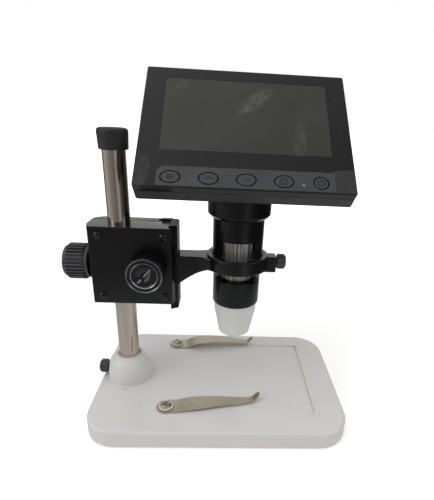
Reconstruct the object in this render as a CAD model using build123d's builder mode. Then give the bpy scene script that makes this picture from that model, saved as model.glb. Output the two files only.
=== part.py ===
from build123d import *
import os
from math import acos, cos, pi, radians, sin, sqrt, tan

# A bench microscope with its own LCD display. The origin is on the table under the middle of the base, X runs to the
# right, Y to the rear and Z up. All sizes are in millimetres.

# Shared clearances
running_gap = 0.05  # radial, between a shaft or tube and the bore that it moves in
sliding_gap = 0.10  # between flat faces that slide
free_gap = 0.30  # between a moving piece and what it only passes
fit_gap = 0.05  # between pieces that are fixed together
line_y = 1.0  # the plane that holds the column, the focus slide and the tube

# Base
base_length = 168.0
base_depth = 113.0
base_corner = 20.0
base_top = 12.7
base_wall = 2.5
base_skin = 2.4
base_edge_round = 1.5
foot_standoff = 0.8
foot_radius = 8.0
foot_recess = 1.0
foot_inset = 18.0
plate_thickness = 2.0
post_radius = 3.5
post_inset_x = 39.0
post_inset_y = 8.0
base_screw_radius = 1.25
base_screw_head_radius = 2.5
base_screw_head = 1.0
base_screw_length = 7.6
ballast_length = 120.0
ballast_depth = 56.0
ballast_thickness = 5.0
ballast_x = 12.0

# Column and its boss
column_x = -64.6
column_radius = 6.8
column_wall = 1.5
column_top = 176.0
boss_foot_radius = 15.5
boss_shoulder_radius = 14.0
boss_shoulder = 26.0
boss_top = 31.2
boss_top_radius = 8.4
socket_radius = 10.5
ferrule_radius = 7.7
ferrule_height = 2.4
ferrule_stand = 0.8
dimple_radius = 1.3
dimple_depth = 0.6
dimple_reach = 17.9
cap_bottom = 169.0
cap_top = 180.5
cap_bottom_radius = 8.4
cap_top_radius = 8.9
cap_round = 2.2

# Clamp screw at the foot of the column
foot_screw_height = 19.1
foot_screw_radius = 2.0
foot_screw_head_radius = 4.8
foot_screw_head_inner = -80.0
foot_screw_head_length = 5.9
foot_screw_ribs = 20

# Sleeve on the column
sleeve_radius = 8.0
sleeve_inset = 1.0
sleeve_slit = 1.0
collar_radius = 9.0
collar_height = 3.0
collar_rise = 7.5

# Focus block
block_bottom = 76.5
block_height = 50.0
block_left = -83.2
block_right = -29.8
block_front = -11.6
block_back = 13.6
block_seam = 4.8
block_round = 0.7
bevel_left_x = 2.4
bevel_left_y = 7.6
bevel_right_x = 2.0
bevel_right_y = 5.6
block_rear_corner = 12.0
wrap_thickness = 2.0
wrap_reach = 8.8
block_screw_left = -74.75
block_screw_right = -36.2
block_screw_inset = 5.2
block_screw_radius = 1.5
block_screw_head_radius = 2.6
block_screw_head = 2.6
block_screw_recess = 3.2
left_screw_tip = 10.5
right_screw_tip = 5.5
screw_boss_radius = 2.8
screw_boss_reach = 7.8

# Lock knob on the left
lock_height = 100.0
lock_stud_radius = 2.5
lock_radius = 11.5
lock_skirt_radius = 10.4
lock_inner = -83.9
lock_skirt_length = 1.7
lock_grip_length = 13.8
lock_round = 3.0
lock_ribs = 30

# Focus knob, pinion and rack
pinion_x = -46.1
pinion_z = 101.5
gear_module = 0.8
pinion_teeth = 14
gear_addendum = 0.6
gear_dedendum = 0.9
gear_backlash = 0.12
pressure_angle = radians(20)
rack_width = 3.6
rack_offset = 8.0
shaft_radius = 2.5
shaft_end = 12.2
bearing_radius = 4.0
bearing_length = 7.0
bearing_flange_radius = 5.0
bearing_flange = 0.7
focus_radius = 11.2
focus_inner = -12.6
focus_length = 13.0
focus_round = 1.6
focus_ribs = 36
focus_disc_radius = 7.1
focus_disc_thickness = 1.2
focus_slot_width = 1.0
focus_slot_depth = 0.5
focus_slot_length = 4.2
focus_slot_start = 1.6

# Dovetail slider
slider_bottom = 71.5
slider_height = 56.0
slider_face = -28.5
slider_back = -33.2
slider_face_width = 13.5
slider_back_width = 18.1

# Clamp arm and ring
arm_width = 13.5
arm_top = 107.5
arm_root_bottom = 88.4
arm_mid_x = -19.7
arm_mid_z = 95.0
arm_end_x = -9.5
arm_end_z = 99.8
arm_blend = 18.0
arm_screw_heights = (94.0, 103.0)
arm_screw_radius = 2.0
arm_screw_head_radius = 3.5
arm_screw_head = 2.5
arm_screw_length = 11.0
ring_radius = 19.8
ring_bottom = 99.8
ring_top = 109.0
ring_round = 0.8
liner_wall = 0.8
liner_flange_radius = 18.0
liner_flange = 0.8
lug_end = 34.0
lug_width = 11.0
lug_bottom = 97.5
lug_top = 108.0
lug_round = 2.0
ring_screw_height = 104.0
ring_screw_radius = 2.0
ring_screw_head_radius = 4.9
ring_screw_head_inner = 34.5
ring_screw_head_length = 6.0
ring_screw_ribs = 18

# Microscope tube
tube_x = 9.0
tube_radius = 16.0
tube_bore = 13.4
tube_slim_radius = 15.2
tube_bottom = 75.8
tube_taper_bottom = 96.0
tube_taper_top = 98.0
tube_top = 146.0
tube_lip_round = 1.0
neck_radius = 19.5
neck_bottom = 133.0
neck_chamfer = 2.5
window_bottom = 92.0
window_top = 119.8
window_half_width = 12.3
lower_floor = 90.0
upper_floor = 122.0
floor_thickness = 2.0

# Focus ring and lens carrier in the tube
ring_knurl_radius = 10.4
ring_knurl_bottom = 93.0
ring_hub_radius = 8.4
carrier_radius = 6.7
carrier_bore = 5.0
carrier_inset = 4.5  # above the nose's open end
carrier_top = 112.0
lens_thickness = 3.0
lens_rise = 1.0
lens_bulge = 0.8

# Light ring and clear nose
holder_radius = 10.5
holder_wall = 1.5
led_board_thickness = 1.2
led_board_inset = 1.0  # above the tube's lower end
led_board_radius = 11.6
led_board_bore = 7.6
led_count = 8
led_circle = 9.6
led_size = 2.0
led_height = 1.2
nose_length = 23.0
nose_top_radius = 14.1
nose_bend_depth = 5.8
nose_bend_radius = 13.9
nose_gap = 0.5
nose_bottom_radius = 10.3
nose_wall = 1.2
nose_collar_height = 10.5
sensor_board_radius = 12.5
sensor_board_thickness = 1.2
sensor_size = 7.0
sensor_height = 1.5

# Display housing. Its own plane lies on the front face, x to the right and y up the face.
display_width = 118.6
display_height = 87.0
display_thickness = 12.6
display_corner = 2.2
display_tilt = radians(43)
display_centre = (10.6, 0.0, 184.7)
panel_depth = 4.2
panel_face = 2.4
panel_wall = 1.5
panel_edge_round = 0.8
parting_gap = 0.12
housing_wall = 2.0
housing_back_round = 1.6
lip_wall = 1.0
screen_width = 95.04
screen_height = 53.86
screen_rise = 7.9
lcd_width = 104.6
lcd_height = 65.6
lcd_thickness = 2.9
strip_left = -47.4
strip_right = 48.0
strip_top = -29.9
strip_thickness = 0.6
strip_round = 5.0
strip_edge = 0.9
key_pitch = 20.0
key_row = -37.0
key_width = 10.3
key_height = 7.65
power_diameter = 7.9
key_proud = 0.3
key_gap = 0.35
key_flange = 0.9
key_flange_thickness = 0.7
key_travel = 0.6
lamp_place = (30.4, -38.7)
lamp_radius = 0.9
key_board_height = 7.6
key_board_end = 8.0
key_board_thickness = 1.0
switch_size = 3.4
switch_height = 1.1
housing_screw_u = 54.2
housing_screw_v = (36.0, -38.0)
housing_post_radius = 1.9
housing_screw_radius = 0.8
housing_screw_head_radius = 1.5
housing_screw_head = 1.0
main_board_left = -12.0
main_board_right = 55.5
main_board_height = 40.0
main_board_thickness = 1.2
main_board_v = -0.5
processor_place = (12.0, 8.0)
processor_size = 14.0
memory_place = (32.0, -10.0)
memory_size = (10.0, 8.0)
chip_height = 1.0
battery_width = 38.0
battery_height = 52.0
battery_thickness = 4.2
battery_u = -34.0
battery_v = 8.0
port_v = 11.0
port_width = 8.0
port_height = 3.0
port_depth = 6.0
card_v = -6.0
card_width = 12.0
card_height = 1.9
card_depth = 12.0
socket_inset = 0.3
wheel_v = 27.0
wheel_radius = 5.0
wheel_thickness = 2.4
wheel_proud = 1.1
wheel_pin_radius = 1.2
wheel_ribs = 24
wheel_depth = 7.6  # from the front face to the middle of the wheel

# Stage clips
clip_front_inset = (49.5, 22.0)
clip_front_turn = 6.8
clip_front_arch = 1.6
clip_rear_inset = (49.0, 16.5)
clip_rear_turn = 2.7
clip_rear_arch = 4.5
clip_reach = 62.0
clip_thickness = 0.7
clip_half_width = 6.2
clip_tip_half_width = 2.5
clip_taper_start = 20.0
clip_eye_end = 8.0
clip_arm_start = 13.0
clip_arm_end = 54.0
clip_tab_start = 58.0
clip_tab_rise = 6.4
clip_tab_slope = 1.2
clip_hole_radius = 2.15
clip_lift = 0.1
washer_radius = 4.8
washer_thickness = 1.0
clip_screw_radius = 1.9
clip_screw_head_radius = 3.6
clip_screw_head = 2.0
clip_screw_slot = 0.8
clip_boss_radius = 4.5
clip_boss_depth = 4.4

# Worked out from the sizes above
nose_top = tube_bottom - nose_gap
nose_bend = nose_top - nose_bend_depth
nose_bottom = nose_top - nose_length
carrier_bottom = nose_bottom + carrier_inset
led_board_bottom = tube_bottom + led_board_inset
key_board_length = 4 * key_pitch + 2 * key_board_end
board_top = panel_face + lcd_thickness + free_gap
board_under = board_top + main_board_thickness
port_middle = board_under + port_height / 2
card_middle = board_under + card_height / 2
plate_top = foot_standoff + plate_thickness
skin_underside = base_top - base_skin
block_top = block_bottom + block_height
column_foot = plate_top + free_gap
pitch_radius = gear_module * pinion_teeth / 2
rack_pitch_x = pinion_x + pitch_radius
tooth_pitch = pi * gear_module
rack_y = line_y + rack_offset
liner_inner = tube_radius + running_gap
liner_outer = liner_inner + liner_wall
ring_bore = liner_outer + running_gap
clip_front = (clip_front_inset[0] - base_length / 2, clip_front_inset[1] - base_depth / 2)
clip_rear = (clip_rear_inset[0] - base_length / 2, base_depth / 2 - clip_rear_inset[1])
clip_bottom = base_top + clip_lift
washer_bottom = clip_bottom + clip_thickness + clip_lift
post_places = [
    (x * (base_length / 2 - post_inset_x), y * (base_depth / 2 - post_inset_y)) for x in (-1, 1) for y in (-1, 1)
]
foot_places = [
    (x * (base_length / 2 - foot_inset), y * (base_depth / 2 - foot_inset)) for x in (-1, 1) for y in (-1, 1)
]
key_places = {
    "menu": -2 * key_pitch,
    "up": -key_pitch,
    "down": 0.0,
    "ok": key_pitch,
    "power": 2 * key_pitch,
}
column_axis = Axis((column_x, line_y, 0), (0, 0, 1))
tube_axis = Axis((tube_x, line_y, 0), (0, 0, 1))
column_section = Plane(origin=(column_x, line_y, 0), x_dir=(1, 0, 0), z_dir=(0, -1, 0))
tube_section = Plane(origin=(tube_x, line_y, 0), x_dir=(1, 0, 0), z_dir=(0, -1, 0))
face_plane = Plane(origin=display_centre, x_dir=(1, 0, 0), z_dir=(0, -sin(display_tilt), cos(display_tilt)))
back_plane = face_plane.offset(-display_thickness)
parting_plane = face_plane.offset(-panel_depth - parting_gap)


def ribbed_points(radius, ribs, depth=0.6):
    """The outline of a grip: flat lands with shallow grooves between them."""
    points = []
    step = 2 * pi / ribs
    for rib in range(ribs):
        for share, reach in ((-0.28, radius), (0.28, radius), (0.40, radius - depth), (0.60, radius - depth)):
            angle = (rib + share) * step
            points.append((reach * cos(angle), reach * sin(angle)))
    return points


def dovetail_points(grow=0.0, mouth=0.0):
    """The slider's section, widest at its back. It grows by a clearance for the channel, which has a mouth."""
    flank = (slider_back_width - slider_face_width) / 2 / (slider_face - slider_back)
    ease = grow * sqrt(1 + flank**2)
    face_x = slider_face + mouth
    back_x = slider_back - grow
    face_half = slider_face_width / 2 - flank * mouth + ease
    back_half = slider_back_width / 2 + flank * grow + ease
    return [
        (back_x, line_y - back_half),
        (face_x, line_y - face_half),
        (face_x, line_y + face_half),
        (back_x, line_y + back_half),
    ]


def pinion_points():
    """One turn of involute teeth. A space between two teeth faces the rack at rest."""
    base_radius = pitch_radius * cos(pressure_angle)
    tip_radius = pitch_radius + gear_addendum
    root_radius = pitch_radius - gear_dedendum
    half_tooth = (tooth_pitch / 2 - gear_backlash) / 2 / pitch_radius
    roll_at_pitch = tan(pressure_angle) - pressure_angle
    flank = [(root_radius, half_tooth + roll_at_pitch)]
    for step in range(5):
        reach = base_radius + (tip_radius - base_radius) * step / 4
        angle = acos(min(1.0, base_radius / reach))
        flank.append((reach, half_tooth + roll_at_pitch - (tan(angle) - angle)))
    points = []
    for tooth in range(pinion_teeth):
        middle = (tooth + 0.5) * 2 * pi / pinion_teeth
        for reach, turn in flank:
            points.append((reach * cos(middle - turn), reach * sin(middle - turn)))
        for reach, turn in reversed(flank):
            points.append((reach * cos(middle + turn), reach * sin(middle + turn)))
    return points


def rack_points():
    """Straight-sided teeth that stand towards the pinion, with one tooth level with it at rest."""
    tip_x = rack_pitch_x - gear_addendum
    root_x = rack_pitch_x + gear_dedendum
    half_pitch_tooth = (tooth_pitch / 2 - gear_backlash) / 2
    half_tip = half_pitch_tooth - gear_addendum * tan(pressure_angle)
    half_root = half_pitch_tooth + gear_dedendum * tan(pressure_angle)
    below = int((pinion_z - slider_bottom - half_root) / tooth_pitch)
    above = int((slider_bottom + slider_height - pinion_z - half_root) / tooth_pitch)
    points = [(slider_back, slider_bottom), (root_x, slider_bottom)]
    for tooth in range(-below, above + 1):
        middle = pinion_z + tooth * tooth_pitch
        points += [(root_x, middle - half_root), (tip_x, middle - half_tip)]
        points += [(tip_x, middle + half_tip), (root_x, middle + half_root)]
    points += [(root_x, slider_bottom + slider_height), (slider_back, slider_bottom + slider_height)]
    return points


def side_plane(x):
    """A plane square to X with its x axis along +Y and its y axis along +Z."""
    return Plane(origin=(x, 0, 0), x_dir=(0, 1, 0), z_dir=(1, 0, 0))


def front_plane(y):
    """A plane square to Y with its x axis along +X and its y axis along +Z. It faces the user."""
    return Plane(origin=(0, y, 0), x_dir=(1, 0, 0), z_dir=(0, -1, 0))


def strip_outline(plane, ease):
    """The key strip's outline, smaller by an ease all round. Its upper left corner is rounded."""
    with BuildSketch(plane) as outline:
        with Locations((strip_left + ease, strip_top - ease)):
            Rectangle(
                strip_right - strip_left - 2 * ease,
                strip_top + display_height / 2 - strip_edge - 2 * ease,
                align=(Align.MIN, Align.MAX),
            )
        fillet(outline.vertices().group_by(Axis.X)[0].sort_by(Axis.Y)[-1], strip_round)
    return outline.sketch


# Base cover: a moulded tray, open below, with the column boss standing on it
with BuildPart() as base_cover:
    with BuildSketch(Plane.XY.offset(foot_standoff)):
        RectangleRounded(base_length, base_depth, base_corner)
    extrude(amount=base_top - foot_standoff)
    fillet(base_cover.faces().sort_by(Axis.Z)[-1].edges(), base_edge_round)
    with BuildSketch(column_section):
        with BuildLine():
            Line((0, skin_underside), (boss_foot_radius, skin_underside))
            Line((boss_foot_radius, skin_underside), (boss_foot_radius, base_top))
            Line((boss_foot_radius, base_top), (boss_shoulder_radius, boss_shoulder))
            RadiusArc(
                (boss_shoulder_radius, boss_shoulder), (boss_top_radius, boss_top), -(boss_top - boss_shoulder) * 1.2
            )
            Line((boss_top_radius, boss_top), (0, boss_top))
            Line((0, boss_top), (0, skin_underside))
        make_face()
    revolve(axis=column_axis)
    with BuildSketch(Plane.XY.offset(foot_standoff)):
        RectangleRounded(base_length - 2 * base_wall, base_depth - 2 * base_wall, base_corner - base_wall)
    extrude(amount=skin_underside - foot_standoff, mode=Mode.SUBTRACT)
    with BuildSketch(Plane.XY.offset(plate_top)):
        with Locations((column_x, line_y)):
            Circle(socket_radius)
        with Locations(*post_places):
            Circle(post_radius)
    extrude(amount=skin_underside - plate_top)
    with BuildSketch(Plane.XY.offset(skin_underside - clip_boss_depth)):
        with Locations(clip_front, clip_rear):
            Circle(clip_boss_radius)
    extrude(amount=clip_boss_depth)
    with BuildSketch(Plane.XY.offset(plate_top)):
        with Locations((column_x, line_y)):
            Circle(column_radius + running_gap)
    extrude(amount=boss_top, mode=Mode.SUBTRACT)
    with BuildSketch(Plane.XY.offset(boss_top + ferrule_stand - ferrule_height)):
        with Locations((column_x, line_y)):
            Circle(ferrule_radius + fit_gap)
    extrude(amount=ferrule_height, mode=Mode.SUBTRACT)
    with BuildSketch(side_plane(column_x - column_radius)):
        with Locations((line_y, foot_screw_height)):
            Circle(foot_screw_radius + running_gap)
    extrude(amount=-boss_foot_radius, mode=Mode.SUBTRACT)
    with BuildSketch(Plane.XY.offset(plate_top)):
        with Locations(*post_places):
            Circle(base_screw_radius + fit_gap)
    extrude(amount=base_screw_length - plate_thickness, mode=Mode.SUBTRACT)
    with BuildSketch(Plane.XY.offset(base_top)):
        with Locations(clip_front, clip_rear):
            Circle(clip_screw_radius + fit_gap)
    extrude(amount=-base_skin - clip_boss_depth + 1.0, mode=Mode.SUBTRACT)
    with BuildSketch(Plane.XY.offset(base_top)):
        with Locations((column_x, line_y - dimple_reach)):
            Circle(dimple_radius)
    extrude(amount=-dimple_depth, mode=Mode.SUBTRACT)

# Bottom plate: closes the tray and carries the ballast
with BuildPart() as base_plate:
    with BuildSketch(Plane.XY.offset(foot_standoff)):
        RectangleRounded(
            base_length - 2 * base_wall - 2 * fit_gap,
            base_depth - 2 * base_wall - 2 * fit_gap,
            base_corner - base_wall - fit_gap,
        )
    extrude(amount=plate_thickness)
    with BuildSketch(Plane.XY.offset(foot_standoff)):
        with Locations(*foot_places):
            Circle(foot_radius + fit_gap)
    extrude(amount=foot_recess, mode=Mode.SUBTRACT)
    with Locations(Plane.XY.offset(foot_standoff)):
        with Locations(*post_places):
            Cylinder(
                base_screw_head_radius + free_gap,
                base_screw_head + sliding_gap,
                align=(Align.CENTER, Align.CENTER, Align.MIN),
                mode=Mode.SUBTRACT,
            )
            Cylinder(
                base_screw_radius + sliding_gap,
                plate_thickness,
                align=(Align.CENTER, Align.CENTER, Align.MIN),
                mode=Mode.SUBTRACT,
            )

with BuildPart() as rubber_feet:
    with BuildSketch():
        with Locations(*foot_places):
            Circle(foot_radius)
    extrude(amount=foot_standoff + foot_recess)

with BuildPart() as base_screws:
    with BuildSketch(Plane.XY.offset(foot_standoff + sliding_gap)):
        with Locations(*post_places):
            Circle(base_screw_head_radius)
    extrude(amount=base_screw_head)
    with BuildSketch(Plane.XY.offset(foot_standoff + sliding_gap)):
        with Locations(*post_places):
            Circle(base_screw_radius)
    extrude(amount=base_screw_length - sliding_gap)

with BuildPart() as ballast:
    with BuildSketch(Plane.XY.offset(plate_top)):
        with Locations((ballast_x, 0)):
            RectangleRounded(ballast_length, ballast_depth, 4.0)
    extrude(amount=ballast_thickness)

# Column: a polished tube in the boss, which it turns in, with a plastic cap
with BuildPart() as column:
    with BuildSketch(Plane.XY.offset(column_foot)):
        with Locations((column_x, line_y)):
            Circle(column_radius)
            Circle(column_radius - column_wall, mode=Mode.SUBTRACT)
    extrude(amount=column_top - column_foot)

with BuildPart() as column_cap:
    with BuildSketch(column_section):
        with BuildLine():
            Line((0, cap_bottom), (cap_bottom_radius, cap_bottom))
            Line((cap_bottom_radius, cap_bottom), (cap_top_radius, cap_top - cap_round))
            RadiusArc((cap_top_radius, cap_top - cap_round), (cap_top_radius - cap_round, cap_top), -cap_round)
            Line((cap_top_radius - cap_round, cap_top), (0, cap_top))
            Line((0, cap_top), (0, cap_bottom))
        make_face()
    revolve(axis=column_axis)
    with BuildSketch(Plane.XY.offset(cap_bottom)):
        with Locations((column_x, line_y)):
            Circle(column_radius + fit_gap)
    extrude(amount=column_top - cap_bottom, mode=Mode.SUBTRACT)
    with BuildSketch(Plane.XY.offset(cap_bottom)):
        with Locations((column_x, line_y)):
            Circle(column_radius - column_wall - fit_gap)
    extrude(amount=column_top - cap_bottom)

with BuildPart() as column_ferrule:
    with BuildSketch(Plane.XY.offset(boss_top + ferrule_stand - ferrule_height)):
        with Locations((column_x, line_y)):
            Circle(ferrule_radius)
            Circle(column_radius + 2 * running_gap, mode=Mode.SUBTRACT)
    extrude(amount=ferrule_height)
    fillet(column_ferrule.edges().group_by(Axis.Z)[-1].sort_by(SortBy.RADIUS)[-1], 0.4)

# Small ribbed screw that holds the column in the boss
with BuildPart() as base_lock_screw:
    with BuildSketch(side_plane(foot_screw_head_inner)):
        with Locations((line_y, foot_screw_height)):
            Polygon(*ribbed_points(foot_screw_head_radius, foot_screw_ribs, 0.45), align=None)
    extrude(amount=-foot_screw_head_length)
    with BuildSketch(side_plane(foot_screw_head_inner)):
        with Locations((line_y, foot_screw_height)):
            Circle(foot_screw_radius)
    extrude(amount=column_x - column_radius - sliding_gap - foot_screw_head_inner)

# Split sleeve that slides on the column. Its collar carries the block, which turns on it.
with BuildPart() as column_sleeve:
    with BuildSketch(Plane.XY.offset(block_bottom + sleeve_inset)):
        with Locations((column_x, line_y)):
            Circle(sleeve_radius)
    extrude(amount=block_height - 2 * sleeve_inset)
    with BuildSketch(Plane.XY.offset(block_bottom + collar_rise)):
        with Locations((column_x, line_y)):
            Circle(collar_radius)
    extrude(amount=collar_height)
    with BuildSketch(Plane.XY.offset(block_bottom)):
        with Locations((column_x, line_y)):
            Circle(column_radius + running_gap)
        with Locations((column_x, line_y + sleeve_radius)):
            Rectangle(sleeve_slit, 2 * (sleeve_radius - column_radius) + 1.0)
    extrude(amount=block_height, mode=Mode.SUBTRACT)

# The block's whole outline, which the seam parts into a front body and a back cover
with BuildPart() as block_blank:
    with BuildSketch(Plane.XY.offset(block_bottom)):
        with BuildLine():
            Polyline(
                (block_left, block_back - block_rear_corner),
                (block_left, block_front + bevel_left_y),
                (block_left + bevel_left_x, block_front),
                (block_right - bevel_right_x, block_front),
                (block_right, block_front + bevel_right_y),
                (block_right, block_back),
                (block_left + block_rear_corner, block_back),
            )
            RadiusArc(
                (block_left + block_rear_corner, block_back),
                (block_left, block_back - block_rear_corner),
                -block_rear_corner,
            )
        make_face()
    extrude(amount=block_height)
    chamfer(block_blank.edges().group_by(Axis.Z)[-1], block_round)

with BuildPart() as back_region:
    with BuildSketch(Plane.XY.offset(block_bottom - 1.0)):
        with Locations(((block_left + block_right) / 2, block_seam)):
            Rectangle(
                block_right - block_left + 4.0, block_back - block_seam + 2.0, align=(Align.CENTER, Align.MIN)
            )
        with Locations((block_left - 1.0, block_seam)):
            Rectangle(wrap_thickness + 1.0, wrap_reach, align=(Align.MIN, Align.MAX))
    extrude(amount=block_height + 2.0)

# Everything that is bored or cut through both halves of the block
with BuildPart() as block_cuts:
    with BuildSketch(Plane.XY.offset(block_bottom - 1.0)):
        with Locations((column_x, line_y)):
            Circle(sleeve_radius + running_gap)
        Polygon(*dovetail_points(sliding_gap, mouth=4.0), align=None)
        with Locations((slider_back, rack_y)):
            Rectangle(
                slider_back - rack_pitch_x + gear_addendum + free_gap,
                rack_width + 2 * free_gap,
                align=(Align.MAX, Align.CENTER),
            )
    extrude(amount=block_height + 2.0)
    with BuildSketch(Plane.XY.offset(block_bottom + collar_rise - sliding_gap)):
        with Locations((column_x, line_y)):
            Circle(collar_radius + running_gap)
    extrude(amount=collar_height + 2 * sliding_gap)
    with BuildSketch(front_plane(shaft_end + sliding_gap)):
        with Locations((pinion_x, pinion_z)):
            Circle(shaft_radius + running_gap)
    extrude(amount=shaft_end + sliding_gap - block_front)
    with BuildSketch(front_plane(rack_y + rack_width / 2 + free_gap)):
        with Locations((pinion_x, pinion_z)):
            Circle(pitch_radius + gear_addendum + free_gap)
    extrude(amount=rack_y + rack_width / 2 + free_gap - block_seam)
    with BuildSketch(front_plane(block_front + bearing_length)):
        with Locations((pinion_x, pinion_z)):
            Circle(bearing_radius + fit_gap)
    extrude(amount=bearing_length)
    with BuildSketch(side_plane(column_x - sleeve_radius)):
        with Locations((line_y, lock_height)):
            Circle(lock_stud_radius + running_gap)
    extrude(amount=-(column_x - sleeve_radius - block_left) - 1.0)
    for screw_x, tip in ((block_screw_left, left_screw_tip), (block_screw_right, right_screw_tip)):
        with BuildSketch(front_plane(tip + sliding_gap)):
            with Locations(
                (screw_x, block_bottom + block_screw_inset), (screw_x, block_top - block_screw_inset)
            ):
                Circle(block_screw_radius + fit_gap)
        extrude(amount=tip + sliding_gap - block_front)
        with BuildSketch(front_plane(block_front + block_screw_recess)):
            with Locations(
                (screw_x, block_bottom + block_screw_inset), (screw_x, block_top - block_screw_inset)
            ):
                Circle(block_screw_head_radius + free_gap)
        extrude(amount=block_screw_recess)

# Two bosses on the back cover that reach forward past the rack to the right-hand screws
with BuildPart() as screw_bosses:
    with BuildSketch(front_plane(block_seam)):
        with Locations(
            (block_screw_right, block_bottom + block_screw_inset),
            (block_screw_right, block_top - block_screw_inset),
        ):
            Circle(screw_boss_radius)
    extrude(amount=screw_boss_reach)

with BuildPart() as boss_sockets:
    with BuildSketch(front_plane(block_seam)):
        with Locations(
            (block_screw_right, block_bottom + block_screw_inset),
            (block_screw_right, block_top - block_screw_inset),
        ):
            Circle(screw_boss_radius + fit_gap)
    extrude(amount=screw_boss_reach + fit_gap)

with BuildPart() as block_body:
    add(block_blank.part)
    add(back_region.part, mode=Mode.SUBTRACT)
    add(boss_sockets.part, mode=Mode.SUBTRACT)
    add(block_cuts.part, mode=Mode.SUBTRACT)

with BuildPart() as block_back_cover:
    add(block_blank.part)
    add(back_region.part, mode=Mode.INTERSECT)
    add(screw_bosses.part)
    add(block_cuts.part, mode=Mode.SUBTRACT)

with BuildPart() as block_screws:
    for screw_x, tip in ((block_screw_left, left_screw_tip), (block_screw_right, right_screw_tip)):
        screw_heights = (block_bottom + block_screw_inset, block_top - block_screw_inset)
        with BuildSketch(front_plane(block_front + block_screw_recess)):
            with Locations((screw_x, screw_heights[0]), (screw_x, screw_heights[1])):
                Circle(block_screw_head_radius)
                RegularPolygon(block_screw_head_radius * 0.55, 6, mode=Mode.SUBTRACT)
        extrude(amount=block_screw_head)
        with BuildSketch(front_plane(tip)):
            with Locations((screw_x, screw_heights[0]), (screw_x, screw_heights[1])):
                Circle(block_screw_radius)
        extrude(amount=tip - block_front - block_screw_recess + 0.6)
        with BuildSketch(front_plane(block_front + block_screw_recess)):
            with Locations((screw_x, screw_heights[0]), (screw_x, screw_heights[1])):
                Circle(block_screw_head_radius * 0.6)
        extrude(amount=1.0)

# Lock knob: a ribbed grip on a smooth skirt, with a stud that presses on the sleeve
with BuildPart() as lock_knob:
    with BuildSketch(side_plane(lock_inner - lock_skirt_length)):
        with Locations((line_y, lock_height)):
            Polygon(*ribbed_points(lock_radius, lock_ribs), align=None)
    extrude(amount=-lock_grip_length)
    with BuildSketch(front_plane(line_y)):
        with BuildLine():
            Polyline(
                (lock_inner - lock_skirt_length - lock_grip_length, lock_height),
                (lock_inner - lock_skirt_length, lock_height),
                (lock_inner - lock_skirt_length, lock_height + lock_radius),
                (lock_inner - lock_skirt_length - lock_grip_length + lock_round, lock_height + lock_radius),
            )
            RadiusArc(
                (lock_inner - lock_skirt_length - lock_grip_length + lock_round, lock_height + lock_radius),
                (lock_inner - lock_skirt_length - lock_grip_length, lock_height + lock_radius - lock_round),
                -lock_round,
            )
            Line(
                (lock_inner - lock_skirt_length - lock_grip_length, lock_height + lock_radius - lock_round),
                (lock_inner - lock_skirt_length - lock_grip_length, lock_height),
            )
        make_face()
    revolve(axis=Axis((0, line_y, lock_height), (1, 0, 0)), mode=Mode.INTERSECT)
    with BuildSketch(side_plane(lock_inner)):
        with Locations((line_y, lock_height)):
            Circle(lock_skirt_radius)
    extrude(amount=-lock_skirt_length)
    with BuildSketch(side_plane(lock_inner)):
        with Locations((line_y, lock_height)):
            Circle(lock_stud_radius + fit_gap)
    extrude(amount=-lock_skirt_length - lock_grip_length / 2, mode=Mode.SUBTRACT)

with BuildPart() as lock_stud:
    with BuildSketch(side_plane(lock_inner - lock_skirt_length - lock_grip_length / 2)):
        with Locations((line_y, lock_height)):
            Circle(lock_stud_radius)
    extrude(amount=column_x - sleeve_radius - sliding_gap - lock_inner + lock_skirt_length + lock_grip_length / 2)

# Focus drive: knob, shaft and pinion turn together in a brass bearing, and the pinion lifts the rack
with BuildPart() as shaft_bearing:
    with BuildSketch(front_plane(block_front + bearing_length)):
        with Locations((pinion_x, pinion_z)):
            Circle(bearing_radius)
    extrude(amount=bearing_length)
    with BuildSketch(front_plane(block_front)):
        with Locations((pinion_x, pinion_z)):
            Circle(bearing_flange_radius)
    extrude(amount=bearing_flange)
    with BuildSketch(front_plane(block_front + bearing_length)):
        with Locations((pinion_x, pinion_z)):
            Circle(shaft_radius + running_gap)
    extrude(amount=bearing_length + bearing_flange, mode=Mode.SUBTRACT)

with BuildPart() as pinion_shaft:
    with BuildSketch(front_plane(shaft_end)):
        with Locations((pinion_x, pinion_z)):
            Circle(shaft_radius)
    extrude(amount=shaft_end - focus_inner + focus_length * 0.6)
    with BuildSketch(front_plane(rack_y + rack_width / 2)):
        with Locations((pinion_x, pinion_z)):
            Polygon(*pinion_points(), align=None)
    extrude(amount=rack_width)

with BuildPart() as focus_knob:
    with BuildSketch(front_plane(focus_inner)):
        with Locations((pinion_x, pinion_z)):
            Polygon(*ribbed_points(focus_radius, focus_ribs, 0.5), align=None)
    extrude(amount=focus_length)
    with BuildSketch(side_plane(pinion_x)):
        with BuildLine():
            Polyline(
                (focus_inner, pinion_z),
                (focus_inner, pinion_z + focus_radius),
                (focus_inner - focus_length + focus_round, pinion_z + focus_radius),
            )
            RadiusArc(
                (focus_inner - focus_length + focus_round, pinion_z + focus_radius),
                (focus_inner - focus_length, pinion_z + focus_radius - focus_round),
                -focus_round,
            )
            Polyline(
                (focus_inner - focus_length, pinion_z + focus_radius - focus_round),
                (focus_inner - focus_length, pinion_z),
                (focus_inner, pinion_z),
            )
        make_face()
    revolve(axis=Axis((pinion_x, 0, pinion_z), (0, 1, 0)), mode=Mode.INTERSECT)
    with BuildSketch(front_plane(focus_inner - focus_length + focus_disc_thickness)):
        with Locations((pinion_x, pinion_z)):
            Circle(focus_disc_radius + fit_gap)
    extrude(amount=focus_disc_thickness, mode=Mode.SUBTRACT)
    with BuildSketch(front_plane(focus_inner)):
        with Locations((pinion_x, pinion_z)):
            Circle(shaft_radius + fit_gap)
    extrude(amount=focus_length * 0.6, mode=Mode.SUBTRACT)

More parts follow.
